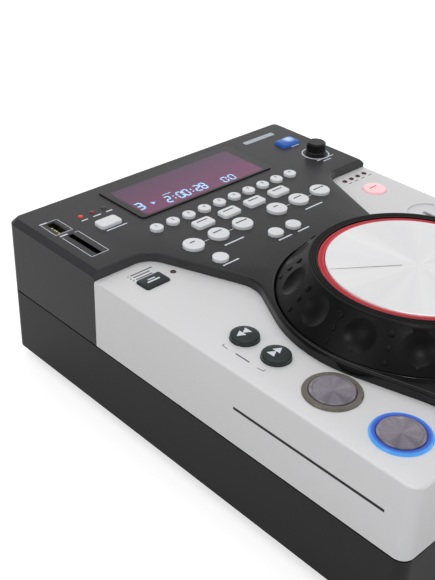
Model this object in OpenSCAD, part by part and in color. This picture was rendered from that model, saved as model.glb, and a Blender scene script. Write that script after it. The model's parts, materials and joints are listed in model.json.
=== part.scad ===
// Tabletop CD player for DJs, with a slot-in disc drive, a jog wheel and a pitch fader.
// Frame: X to the right, Y to the back, Z up. The origin is the middle of the footprint on the table.
// All sizes are in millimetres.

/* [Case] */
// Width of the case
body_w = 225; // [223:0.5:232]
// Depth of the case
body_d = 296; // [294:1:306]
// Height of the black deck above the table
deck_h = 97; // [95:0.5:102]
// Step from the black deck down to the silver cheeks
cheek_drop = 5.6; // [4.6:0.1:6.6]
// Height of the joint between the base and the upper mouldings
seam_h = 49.5; // [48:0.5:54]
// Height of the rubber feet
foot_h = 7; // [5:0.5:8]
// Wall of the mouldings
wall = 2.5; // [2:0.1:3]
// Radius of the case's upright corners
corner_r = 6.5; // [6:0.5:12]
// Bevel along the outer edge of the deck
deck_bevel = 3.4; // [2:0.2:3.6]
// Rounding of the deck's edge above the cheeks
edge_roll = 1.8; // [0.8:0.1:2]
// Rounding of the cheeks' outer edge
cheek_roll = 1.2; // [0.8:0.1:2.4]
// Height of the groove along the joint
seam_groove = 0.9; // [0.5:0.1:1.2]
// Depth of the groove along the joint
seam_depth = 0.8; // [0.4:0.1:1]
// Gap between neighbouring mouldings
panel_gap = 0.15; // [0.1:0.05:0.25]

/* [Deck outline] */
// Length of the black rear deck, from the back edge to the cheeks
rear_deck = 82.5; // [82:0.5:85]
// Width of the black tongue that reaches the front
tongue_w = 121; // [119:1:123]
// Rounding where the rear deck turns into the neck
shoulder_r = 14; // [10:1:16]
// Slope of the neck's side, in degrees
shoulder_slope = 68.5; // [67:0.5:70]
// Rounding of the neck's narrowest place
neck_r = 20; // [14:1:24]
// Slope of the line from the neck to the collar, in degrees
neck_slope = 61.6; // [60.5:0.2:62.5]
// Distance from the jog's axis back to the neck
neck_reach = 63.3; // [62:0.5:65]
// Lean of the line from the collar to the tongue, in degrees
foot_lean = 16.2; // [15:0.2:17]
// Rounding where the collar turns into the tongue
foot_r = 60; // [40:5:70]

/* [Jog wheel] */
// Distance from the front edge to the jog's axis
jog_setback = 88.5; // [87.5:0.5:90]
// Radius of the wheel's foot
wheel_r = 71.4; // [70.5:0.1:72]
// Gap between the wheel and its well
wheel_gap = 1.1; // [0.8:0.1:1.5]
// Wall of the collar around the well
collar_wall = 2.5; // [2.3:0.1:3]
// Height of the wheel's top above the deck
wheel_rise = 18.5; // [16:0.5:20]
// Radius of the wheel's flat top
wheel_top_r = 56; // [55.5:0.5:57]
// Depth of the well below the deck
well_depth = 9; // [8:0.5:10]
// Wall of the wheel's rim
rim_wall = 4.5; // [4:0.1:5]
// Radius of the spun platter
platter_r = 47.3; // [46:0.1:47.6]
// Width of the red ring
accent_w = 3.5; // [3:0.1:3.6]
// Depth of the red ring below the platter
accent_sink = 0.6; // [0.2:0.1:1]
// Number of finger dimples
dimples = 14; // [10:1:15]
// Radius of a finger dimple
dimple_r = 8.9; // [7:0.1:9.2]
// Depth of a finger dimple
dimple_depth = 2.4; // [1.5:0.1:2.6]
// Height of a dimple above the middle of the wheel's slope, along the slope
dimple_lift = 1.6; // [0:0.1:1.8]
// Radius of the wheel's shaft
jog_shaft_r = 4; // [3.5:0.1:5]
// Number of slots in the wheel's encoder skirt
encoder_slots = 48; // [24:4:60]

/* [Keys] */
// Travel of a key
key_travel = 1; // [0.6:0.1:1.2]
// Gap around a key
key_gap = 0.3; // [0.25:0.05:0.4]
// Height of a key above the deck
key_rise = 2; // [1.4:0.1:2.4]
// Radius of a number key
num_r = 4; // [3.6:0.1:4.3]
// Distance between number keys
num_pitch = 12.4; // [12:0.1:12.8]
// Distance from the back edge to the number keys
num_back = 67.7; // [67:0.2:68.4]
// Width of a bar key
bar_w = 13.6; // [12:0.2:15]
// Depth of a bar key
bar_d = 8.4; // [7.4:0.2:9]
// Distance between bar keys
bar_pitch = 21; // [19:0.5:22]
// Distance from the back edge to the bar keys
bar_back = 80.7; // [80.2:0.2:81.4]
// Radius of a loop key
loop_r = 6.3; // [5.8:0.1:6.6]
// Distance between the loop keys of one group
loop_pitch = 19.2; // [18.4:0.2:19.6]
// Distance from the middle to the nearest loop keys
loop_inner = 14.4; // [13:0.2:15]
// Distance from the back edge to the loop keys
loop_back = 95.8; // [95.2:0.2:96.4]
// Radius of the small round keys below the loop keys
small_key_r = 4.65; // [4.2:0.1:5]
// Width of the source key
source_w = 14.8; // [13:0.2:15.2]
// Depth of the source key
source_d = 9; // [8:0.2:9.6]
// Width of the eject key
eject_w = 15.2; // [14:0.2:16]
// Depth of the eject key
eject_d = 10.4; // [10:0.2:11.8]
// Width of the jog mode key
mode_w = 16; // [14:0.2:17]
// Depth of the jog mode key
mode_d = 10; // [9:0.2:11]
// Radius of a search key
search_r = 7.5; // [6.5:0.1:8]
// Distance between the search keys
search_pitch = 21.5; // [20:0.5:23]
// Radius of the cue and play caps
cap_r = 11.1; // [10:0.1:11.2]
// Width of the lit ring around a cap
ring_w = 3.3; // [2.4:0.1:3.3]
// Distance between the cue and play caps
cap_pitch = 39.4; // [38:0.2:40]
// Distance from the side of the case to the keys on the cheeks
cheek_key_in = 24.1; // [23.6:0.1:24.6]
// Radius of the pitch key
pitch_key_r = 7.25; // [6.5:0.05:7.5]
// Radius of a pitch bend key
bend_r = 6; // [5:0.1:6.6]
// Distance between the pitch bend keys
bend_pitch = 24; // [20:1:25]

/* [Display] */
// Width of the display window
window_w = 109; // [106:1:111]
// Depth of the display window
window_d = 43.8; // [41:0.2:44]
// Distance from the back edge to the display window
window_back = 10; // [9.4:0.2:11]
// Height of the window's face above the deck
window_rise = 0.9; // [0.5:0.1:1.2]

/* [Knob and fader] */
// Radius of the track knob
knob_r = 6.9; // [6:0.1:7]
// Height of the track knob
knob_h = 7.5; // [7:0.5:13]
// Push travel of the track knob
push_travel = 0.8; // [0.5:0.1:1.2]
// Travel of the pitch fader from end to end
fader_travel = 60; // [50:1:60]
// Width of the fader's slot
fader_slot_w = 3; // [2.6:0.1:3.4]
// Width of the fader's cap
fader_cap_w = 19; // [16:0.5:20]
// Length of the fader's cap along its travel
fader_cap_d = 10.5; // [9:0.5:11]
// Height of the fader's cap
fader_cap_h = 10; // [8:0.5:12]

/* [Media sockets] */
// Width of the USB opening
usb_w = 12.5; // [12.1:0.1:12.8]
// Height of the USB opening
usb_t = 5.1; // [4.9:0.1:5.3]
// Width of the card slot
card_w = 26.2; // [25.6:0.1:26.6]
// Height of the card slot
card_t = 2.8; // [2.4:0.1:3]

/* [Disc drive] */
// Diameter of a disc
disc_dia = 120; // [119:1:120]
// Width of the disc slot
slot_w = 124; // [123:0.5:126]
// Height of the disc slot
slot_t = 5; // [4.9:0.1:5.4]
// Height of the disc slot's lower edge above the table
slot_h = 28.2; // [28:0.1:29]
// Travel of the laser sled
sled_travel = 35; // [30:0.5:35]
// Swing of the clamp arm, in degrees
clamp_swing = 4.4; // [3.6:0.1:4.6]

/* [Back] */
// Width of the socket bay in the back
bay_w = 184; // [182:1:185]
// Height of the socket bay
bay_h = 32; // [30:0.5:32]
// Depth of the socket bay
bay_depth = 9.5; // [9:0.1:11]
// Radius of a phono jack's sleeve
phono_r = 4.15; // [4:0.05:4.2]
// Length of a phono jack's sleeve
phono_l = 7.5; // [7:0.1:8]
// Swing of the power rocker, in degrees
rocker_swing = 16; // [12:1:18]

/* [Hidden] */
num_keys = [for (i = [1:10]) str("num_key_", i)];
bar_keys = [for (i = [1:4]) str("bar_key_", i)];
loop_keys = ["loop_a_in_key", "loop_a_out_key", "loop_a_reloop_key",
             "loop_b_in_key", "loop_b_out_key", "loop_b_reloop_key"];

// Colours
black_abs = "#4b4a4d";
base_abs = "#2b2b2b";
silver_abs = "#dcdcdd";
rubber = "#1e1e1e";
red_clear = "#d0383f";
spun_aluminium = "#d9dadc";
key_white = "#dcdad8";
key_grey = "#3a4444";
cap_metal = "#8f8583";
board_green = "#2f5a3c";
steel = "#9a9ca0";
brass = "#b89a5a";

// Small fits
eps = 0.01;
run_gap = 0.03;      // radial clearance of a running fit
seat_gap = 0.05;     // clearance of a seat that turns
float_gap = 0.3;     // gap between parts that move past each other
arc_step = 7.5;      // degrees between the points of an arc

// Places along Z
half_w = body_w / 2;
half_d = body_d / 2;
cheek_h = deck_h - cheek_drop;
deck_under = deck_h - wall;
cheek_under = cheek_h - wall;
floor_top = foot_h + wall;
board_t = 1.6;
board_drop = 9.5;    // from the underside of a moulding to the board below it
deck_board = deck_under - board_drop;
cheek_board = cheek_under - board_drop;
switch_h = 4.3;
flange_t = 1.5;
flange_w = 0.9;
wheel_top = deck_h + wheel_rise;
well_floor = deck_h - well_depth;

// Places along Y
jog_y = jog_setback - half_d;
step_y = half_d - rear_deck;
num_y = half_d - num_back;
bar_y = half_d - bar_back;
loop_y = half_d - loop_back;
small_key_y = jog_y + 91.8;
window_y = half_d - window_back - window_d / 2;
led_y = half_d - 27.8;
source_y = half_d - 44.5;
eject_y = half_d - 32.8;
knob_y = half_d - 56.4;
usb_y = half_d - 29.5;
card_y = half_d - 54.6;
mode_y = step_y - 20.5;
search_y = jog_y + 24.3;
cue_y = jog_y - 22;
pitch_key_y = step_y - 27;
fader_y = step_y - 99.5;
bend_y = -half_d + 27;

// Places along X
cheek_x = half_w - cheek_key_in;
fader_x = half_w - 21.5;
source_x = -half_w + 39.9;
eject_x = half_w - 22;
knob_x = half_w - 19.3;
usb_x = -half_w + 14.2;
card_x = -half_w + 15.2;
tap_x = -51;
twin_x = 7.3;        // the reverse and brake keys, either side of the middle

// Radii of the wheel
well_r = wheel_r + wheel_gap;
collar_r = well_r + collar_wall;

// Screw places
screw_r = 1.5;
pilot_gap = 0.02;
boss_r = 4.5;
case_posts = [for (s = [-1, 1]) each [[s * (half_w - 11.5), half_d - 11], [s * 30, small_key_y]]];
cheek_posts = [for (s = [-1, 1])
    each [[s * (half_w - 10.5), -half_d + 10.5], [s * (half_w - 8.5), step_y - 22]]];
foot_places = [for (sx = [-1, 1], sy = [-1, 1]) [sx * (half_w - 20), sy * (half_d - 26)]];
deck_board_posts = [for (s = [-1, 1])
    each [[s * 63, num_y + 5.7], [s * 63, loop_y + 8], [s * 38, small_key_y - 6]]];
left_board_posts = [[source_x + 10.4, source_y + 9], [source_x - 13.9, source_y + 9]];
right_board_posts = [[eject_x - 7.2, knob_y + 10.2], [eject_x + 14.8, knob_y + 10.2]];
cheek_board_x = [half_w - 10.5, half_w - 33];
left_cheek_posts = [for (x = cheek_board_x, y = [mode_y - 25, jog_y - 3.5, jog_y - 41.5]) [-x, y]];
right_cheek_posts = concat([for (x = cheek_board_x, y = [step_y - 45.5, fader_y - 52]) [x, y]],
                           [[cheek_board_x[0], bend_y + bend_pitch / 2], [cheek_board_x[1], -half_d + 18]]);
board_post_r = 2.2;
board_screw_r = 1;

// ---------- outlines ----------

function unit(v) = v / norm(v);
function left_of(v) = [-v[1], v[0]];
function turned(v, a) = [v[0] * cos(a) - v[1] * sin(a), v[0] * sin(a) + v[1] * cos(a)];
function xy(p) = [p[0], p[1]];
function flip(p) = [-p[0], p[1], p[2]];
function backwards(list) = [for (i = [len(list) - 1:-1:0]) list[i]];

// The points of one rounded corner of an anticlockwise outline that is drawn in by d.
function corner_points(a, b, c, r, d, step) =
    let (u = unit(b - a), v = unit(c - b), n = left_of(u), m = left_of(v),
         turn = atan2(cross(u, v), u * v),
         p = b + d * (n + m) / (1 + n * m),
         side = sign(turn),
         radius = max(r - side * d, 0.05),
         start = p - u * radius * tan(abs(turn) / 2),
         centre = start + side * radius * n,
         count = ceil(abs(turn) / step))
    r == 0 ? [p] : [for (i = [0:count]) centre + turned(-side * radius * n, turn * i / count)];

// An outline of [x, y, radius] corners, run anticlockwise and drawn in by d.
function outline(path, d = 0, step = arc_step) =
    let (n = len(path))
    [for (i = [0:n - 1])
        each corner_points(xy(path[(i + n - 1) % n]), xy(path[i]), xy(path[(i + 1) % n]), path[i][2], d, step)];

function box_path(w, d, r, x = 0, y = 0) =
    [[x - w / 2, y - d / 2, r], [x + w / 2, y - d / 2, r], [x + w / 2, y + d / 2, r], [x - w / 2, y + d / 2, r]];

// Levels [z, inset] of a rounded upper edge of radius e that ends at height z.
function rolled(z, e, steps = 5) =
    [for (i = [0:steps]) let (a = 90 * i / steps) [z - e + e * sin(a), e * (1 - cos(a))]];

module prism(path, z0, z1, inset = 0, step = arc_step)
    translate([0, 0, z0]) linear_extrude(z1 - z0) polygon(outline(path, inset, step));

// A solid through one outline at several levels [z, inset].
module loft(path, levels, step = arc_step) {
    rings = [for (l = levels) [for (p = outline(path, l[1], step)) [p[0], p[1], l[0]]]];
    n = len(rings[0]);
    m = len(levels);
    polyhedron([for (r = rings) each r], concat(
        [[for (i = [0:n - 1]) i]],
        [[for (i = [n - 1:-1:0]) (m - 1) * n + i]],
        [for (k = [0:m - 2], i = [0:n - 1])
            [k * n + i, (k + 1) * n + i, (k + 1) * n + (i + 1) % n, k * n + (i + 1) % n]]), convexity = 8);
}

module post(p, r, z0, z1) translate([p[0], p[1], z0]) cylinder(r = r, h = z1 - z0, $fn = 48);

module block(x0, x1, y0, y1, z0, z1) translate([x0, y0, z0]) cube([x1 - x0, y1 - y0, z1 - z0]);

case_path = box_path(body_w, body_d, corner_r);
far_x = half_w + 6;
far_y = half_d + 6;

// Corners of the line between the deck and the left cheek, from the back to the front.
function jog_point(r, a) = [r * cos(a), jog_y + r * sin(a)];
neck_touch = 90 + neck_slope;
foot_touch = 180 + foot_lean;
neck_tangent = jog_point(collar_r, neck_touch);
foot_tangent = jog_point(collar_r, foot_touch);
collar_corner = jog_point(collar_r / cos((foot_touch - neck_touch) / 2), (foot_touch + neck_touch) / 2);
neck_y = jog_y + neck_reach;
neck_x = neck_tangent[0] + (neck_y - neck_tangent[1]) / tan(neck_slope);
shoulder_x = neck_x - (step_y - neck_y) / tan(shoulder_slope);
foot_y = foot_tangent[1] - (-tongue_w / 2 - foot_tangent[0]) / tan(foot_lean);
step_line = [[shoulder_x, step_y, shoulder_r], [neck_x, neck_y, neck_r],
             [collar_corner[0], collar_corner[1], collar_r], [-tongue_w / 2, foot_y, foot_r]];

deck_path = concat(
    [[-tongue_w / 2, -far_y, 0], [tongue_w / 2, -far_y, 0]],
    [for (p = backwards(step_line)) flip(p)],
    [[far_x, step_y, 0], [far_x, far_y, 0], [-far_x, far_y, 0], [-far_x, step_y, 0]],
    step_line);
cheek_path = concat(
    [[-far_x, -far_y, 0], [-tongue_w / 2, -far_y, 0]],
    backwards(step_line),
    [[-far_x, step_y, 0]]);

// ---------- keys ----------

// The opening for a round key, or for a bar key.
module round_hole(x, y, r, z0, z1) translate([x, y, z0]) cylinder(r = r + key_gap, h = z1 - z0, $fn = 64);

module bar_hole(x, y, w, d, r, z0, z1) prism(box_path(w + 2 * key_gap, d + 2 * key_gap, r + key_gap, x, y), z0, z1);

// The bottom of a key's stem, just above its switch at full travel.
function stem_end(board) = board + switch_h + key_travel + float_gap;

// A round key: a cap with a rounded edge and a slightly domed top, its flange and its stem.
module round_key(x, y, r, face, rise, under, board, edge = 0.5, dome = 0.2, drop = 0, flange = flange_w) {
    top = face + rise;
    flange_top = under - float_gap - drop;
    profile = concat(
        [[0, flange_top - flange_t], [r + flange, flange_top - flange_t], [r + flange, flange_top], [r, flange_top]],
        [for (a = [0:22.5:90]) [r - edge + edge * cos(a), top - dome - edge + edge * sin(a)]],
        [for (k = [0.75, 0.5, 0.25, 0]) [(r - edge) * k, top - dome * k * k]]);
    translate([x, y, 0]) {
        rotate_extrude($fn = 72) polygon(profile);
        translate([0, 0, stem_end(board)])
            cylinder(r = 1.6, h = flange_top - flange_t - stem_end(board) + eps, $fn = 32);
    }
}

// A bar key: a block with rounded corners and edges, its flange and its stem.
module bar_key(x, y, w, d, r, face, rise, under, board, edge = 0.7) {
    flange_top = under - float_gap;
    loft(box_path(w, d, r, x, y), concat([[flange_top - eps, 0]], rolled(face + rise, edge, 3)), 15);
    prism(box_path(w + 2 * flange_w, d + 2 * flange_w, r, x, y), flange_top - flange_t, flange_top);
    translate([x, y, stem_end(board)])
        cylinder(r = 1.6, h = flange_top - flange_t - stem_end(board) + eps, $fn = 32);
}

module deck_key(x, y, r, rise = key_rise) round_key(x, y, r, deck_h, rise, deck_under, deck_board);
module cheek_key(x, y, r, rise, edge = 0.5, dome = 0.2)
    round_key(x, y, r, cheek_h, rise, cheek_under, cheek_board, edge, dome);

function num_x(i) = (i - 5.5) * num_pitch;
function bar_x(i) = (i - 2.5) * bar_pitch;
function loop_x(i) = i < 3 ? -loop_inner - (2 - i) * loop_pitch : loop_inner + (i - 3) * loop_pitch;
bar_r = 2;
mode_r = 1.2;
cap_drop = 1.5;      // the lit rings' flange, which the cue and play flanges clear
ring_lip = 1.2;      // how far that flange reaches past the ring
ring_top = cheek_h + 1.2;
search_rise = 3;
mode_rise = 1.2;
eject_rise = 2;

deck_round_keys = concat(
    [for (i = [1:10]) [num_x(i), num_y, num_r]],
    [for (i = [0:5]) [loop_x(i), loop_y, loop_r]],
    [[tap_x, small_key_y, small_key_r], [-twin_x, small_key_y, small_key_r], [twin_x, small_key_y, small_key_r]]);
deck_bar_keys = concat(
    [for (i = [1:4]) [bar_x(i), bar_y, bar_w, bar_d]],
    [[source_x, source_y, source_w, source_d], [eject_x, eject_y, eject_w, eject_d]]);
left_round_keys = [for (s = [1, -1]) [-cheek_x, search_y + s * search_pitch / 2, search_r]];
cap_places = [[-cheek_x, cue_y], [-cheek_x, cue_y - cap_pitch]];
right_round_keys = [[fader_x, pitch_key_y, pitch_key_r],
                    [fader_x, bend_y + bend_pitch, bend_r], [fader_x, bend_y, bend_r]];

module num_key(i) color(key_white) deck_key(num_x(i), num_y, num_r);
module bar_key_at(i) color(key_white)
    bar_key(bar_x(i), bar_y, bar_w, bar_d, bar_r, deck_h, key_rise, deck_under, deck_board);
module loop_key(i) color(key_white) deck_key(loop_x(i), loop_y, loop_r);
module tap_key() color(key_white) deck_key(tap_x, small_key_y, small_key_r);
module reverse_key() color(key_white) deck_key(-twin_x, small_key_y, small_key_r);
module brake_key() color(key_white) deck_key(twin_x, small_key_y, small_key_r);
module source_key() color(key_white)
    bar_key(source_x, source_y, source_w, source_d, bar_r, deck_h, key_rise, deck_under, deck_board);
module eject_key() color("#2a5fc0")
    bar_key(eject_x, eject_y, eject_w, eject_d, bar_r, deck_h, eject_rise, deck_under, deck_board, 1);
module jog_mode_key() color(key_grey)
    bar_key(-cheek_x, mode_y, mode_w, mode_d, mode_r, cheek_h, mode_rise, cheek_under, cheek_board, 0.4);
module search_back_key() color(key_grey)
    cheek_key(-cheek_x, search_y + search_pitch / 2, search_r, search_rise, 0.8, 0.4);
module search_forward_key() color(key_grey)
    cheek_key(-cheek_x, search_y - search_pitch / 2, search_r, search_rise, 0.8, 0.4);
module pitch_key() color("#f4b8bc") cheek_key(fader_x, pitch_key_y, pitch_key_r, 1.2);
module bend_down_key() color(key_grey) cheek_key(fader_x, bend_y, bend_r, key_rise);
module bend_up_key() color(key_grey) cheek_key(fader_x, bend_y + bend_pitch, bend_r, key_rise);

// A cue or play button: a spun metal cap with a shallow dish inside a raised rim.
module spun_button(p) color(cap_metal) {
    top = cheek_h + 1.8;
    flange_top = cheek_under - float_gap - cap_drop;
    translate([p[0], p[1], 0]) {
        rotate_extrude($fn = 96) polygon(concat(
            [[0, flange_top - flange_t], [cap_r + 1.4, flange_top - flange_t], [cap_r + 1.4, flange_top],
             [cap_r, flange_top], [cap_r, top - 0.5], [cap_r - 0.5, top], [cap_r - 1.4, top]],
            [for (k = [1:-0.25:0]) [(cap_r - 1.8) * k, top - 0.5 + 0.2 * k * k]]));
        translate([0, 0, stem_end(cheek_board)])
            cylinder(r = 2, h = flange_top - flange_t - stem_end(cheek_board) + eps, $fn = 32);
    }
}
module cue_button() spun_button(cap_places[0]);
module play_button() spun_button(cap_places[1]);

// ---------- lights ----------

led_r = 1.7;
led_pitch = 8.5;
level_led_pitch = 6.4;
deck_leds = [for (i = [-1:1]) [source_x + 1 + i * led_pitch, led_y]];
cheek_leds = concat(
    [[-cheek_x + 14.8, mode_y + 0.7]],
    [for (i = [-1.5:1:1.5]) [fader_x + 3.5 + i * level_led_pitch, step_y - 7.5]]);

module led_lens(p, face, under) translate([p[0], p[1], under - 3])
    rotate_extrude($fn = 32) polygon(concat([[0, 0], [led_r, 0]],
        [for (a = [0:30:90]) [led_r * cos(a), face - under + 3 + 0.8 * sin(a)]]));

// The lit ring round a cap, held by its flange under the cheek.
module lit_ring(p) translate([p[0], p[1], 0]) rotate_extrude($fn = 96) polygon([
    [cap_r + key_gap, cheek_under - cap_drop], [cap_r + ring_w + ring_lip, cheek_under - cap_drop],
    [cap_r + ring_w + ring_lip, cheek_under], [cap_r + ring_w, cheek_under],
    [cap_r + ring_w, ring_top - 0.6], [cap_r + ring_w - 0.6, ring_top],
    [cap_r + key_gap + 0.3, ring_top], [cap_r + key_gap, ring_top - 0.3]]);

module light_pipes() color("#b8c4d8") {
    for (p = deck_leds) led_lens(p, deck_h, deck_under);
    for (p = cheek_leds) led_lens(p, cheek_h, cheek_under);
    for (p = cap_places) lit_ring(p);
}

// ---------- upper mouldings ----------

window_r = 3;
window_rebate = 3;   // the window's flange under the deck
usb_shell = 0.5;
card_lead = 0.4;      // how much wider the deck's opening is than the card slot, on each side
bearing_r = 7;
bearing_flange_r = 10;
hub_boss_top = well_floor + 4;
sensor_r = 44.75;    // radius of the encoder skirt's middle
skirt_t = 1.5;
bush_r = 4;          // the encoder's bush, level with the deck

module deck_cuts() {
    z0 = deck_under - 1;
    z1 = deck_h + 1;
    for (k = deck_round_keys) round_hole(k[0], k[1], k[2], z0, z1);
    for (k = deck_bar_keys) bar_hole(k[0], k[1], k[2], k[3], bar_r, z0, z1);
    for (p = deck_leds) post(p, led_r + seat_gap, z0, z1);
    prism(box_path(window_w, window_d, window_r, 0, window_y), z0, z1);
    slot_box(usb_x, usb_y, usb_t, usb_w, usb_shell + seat_gap, z0, z1);
    slot_box(card_x, card_y, card_t, card_w, card_lead, z0, z1);
    post([knob_x, knob_y], bush_r + seat_gap, z0, z1);
}

// The black moulding: the rear deck, the collar round the jog's well and the tongue to the front.
module top_housing() color(black_abs) difference() {
    intersection() {
        loft(case_path, [[seam_h, 0], [deck_h - deck_bevel, 0], [deck_h, deck_bevel]]);
        loft(deck_path, concat([[seam_h - 1, 0]], rolled(deck_h, edge_roll), [[deck_h + 1, edge_roll]]), 5);
    }
    difference() {
        intersection() {
            prism(case_path, seam_h - 1, deck_under, wall);
            prism(deck_path, seam_h - 2, deck_under + 1, wall, 5);
        }
        post([0, jog_y], collar_r, well_floor - wall, deck_h);
        for (p = case_posts) post(p, boss_r, seam_h, deck_h);
        for (p = concat(deck_board_posts, left_board_posts, right_board_posts))
            post(p, board_post_r, deck_board, deck_h);
        post([0, jog_y], bearing_r + 3, well_floor - wall - 4, deck_h);
    }
    difference() {
        post([0, jog_y], well_r, well_floor, deck_h + 1);
        post([0, jog_y], bearing_flange_r + 2, well_floor - 1, hub_boss_top);
    }
    post([0, jog_y], bearing_r, well_floor - wall - 5, hub_boss_top + 1);
    for (p = case_posts) post(p, screw_r + pilot_gap, seam_h - 1, seam_h + 14);
    for (p = concat(deck_board_posts, left_board_posts, right_board_posts))
        post(p, board_screw_r + pilot_gap, deck_board - 1, deck_board + 6);
    deck_cuts();
}

fader_slot_l = fader_travel + 8;
fader_rim_r = 14;
fader_rim_depth = 0.8;

module fader_cuts() {
    block(fader_x - fader_slot_w / 2, fader_x + fader_slot_w / 2,
          fader_y - fader_slot_l / 2, fader_y + fader_slot_l / 2, cheek_under - 1, cheek_h + 1);
    prism(box_path(2 * fader_rim_r, fader_slot_l + 18, fader_rim_r - 0.1, fader_x, fader_y),
          cheek_h - fader_rim_depth, cheek_h + 1);
}

// A silver cheek, drawn on the left. The right one is its mirror image with its own cuts.
module cheek_shell(posts, board_posts) difference() {
    intersection() {
        loft(case_path, concat([[seam_h, 0]], rolled(cheek_h, cheek_roll, 4)));
        prism(cheek_path, seam_h - 1, cheek_h + 1, panel_gap, 5);
    }
    difference() {
        union() {
            intersection() {
                prism(case_path, seam_h - 1, cheek_under, wall);
                prism(cheek_path, seam_h - 2, cheek_under + 1, panel_gap + 1.8, 5);
            }
            prism(case_path, seam_h - 2, cheek_h - 10, wall);
        }
        for (p = posts) post(p, boss_r, seam_h, cheek_h);
        for (p = board_posts) post(p, board_post_r, cheek_board, cheek_h);
    }
    for (p = posts) post(p, screw_r + pilot_gap, seam_h - 1, seam_h + 14);
    for (p = board_posts) post(p, board_screw_r + pilot_gap, cheek_board - 1, cheek_board + 6);
}

module side_panel_left() color(silver_abs) difference() {
    cheek_shell([for (p = cheek_posts) if (p[0] < 0) p], left_cheek_posts);
    for (k = left_round_keys) round_hole(k[0], k[1], k[2], cheek_under - 1, cheek_h + 1);
    for (p = cap_places) {
        post(p, cap_r + ring_w + seat_gap, cheek_under - 1, cheek_h + 1);
        post(p, cap_r + ring_w + ring_lip + 0.1, cheek_under - cap_drop - 4, cheek_under);
    }
    bar_hole(-cheek_x, mode_y, mode_w, mode_d, mode_r, cheek_under - 1, cheek_h + 1);
    for (p = cheek_leds) if (p[0] < 0) post(p, led_r + seat_gap, cheek_under - 1, cheek_h + 1);
}

module side_panel_right() color(silver_abs) difference() {
    mirror([1, 0, 0])
        cheek_shell([for (p = cheek_posts) if (p[0] < 0) p], [for (p = right_cheek_posts) [-p[0], p[1]]]);
    for (k = right_round_keys) round_hole(k[0], k[1], k[2], cheek_under - 1, cheek_h + 1);
    for (p = cheek_leds) if (p[0] > 0) post(p, led_r + seat_gap, cheek_under - 1, cheek_h + 1);
    fader_cuts();
}

// ---------- display ----------

module display_window() color("#6b5a70", 0.6) union() {
    loft(box_path(window_w - 2 * panel_gap, window_d - 2 * panel_gap, window_r - panel_gap, 0, window_y),
         [[deck_under - 1, 0], [deck_h + window_rise - 0.2, 0], [deck_h + window_rise, 0.2]]);
    prism(box_path(window_w + 2 * window_rebate, window_d + 2 * window_rebate, window_r, 0, window_y),
          deck_under - 1.4, deck_under);
}

glass_t = 5;
module display_module() color("#2a2430") {
    top = deck_under - 1.4;
    block(-window_w / 2 + 2, window_w / 2 - 2, window_y - window_d / 2 + 3, window_y + window_d / 2 - 3,
          top - glass_t, top);
    block(-window_w / 2 - 2, window_w / 2 + 2, window_y - window_d / 2, window_y + window_d / 2,
          top - glass_t - board_t, top - glass_t);
    for (x = [-1, 1]) post([x * (window_w / 2 + 0.2), window_y], 1.6, top - glass_t - eps, top);
}

// ---------- boards under the keys ----------

module key_switch(x, y, board) {
    block(x - 3, x + 3, y - 3, y + 3, board - eps, board + 3.5);
    post([x, y], 1.75, board + 3.4, board + switch_h);
}

module board_holes(posts, board) for (p = posts) post(p, board_screw_r + 0.1, board - board_t - 1, board + 1);

encoder_w = 12;
encoder_h = 6.5;
plunger_r = 3;
fader_body_w = 14;
fader_body_l = fader_travel + 26;
fader_body_top = cheek_under - 0.5;

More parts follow.
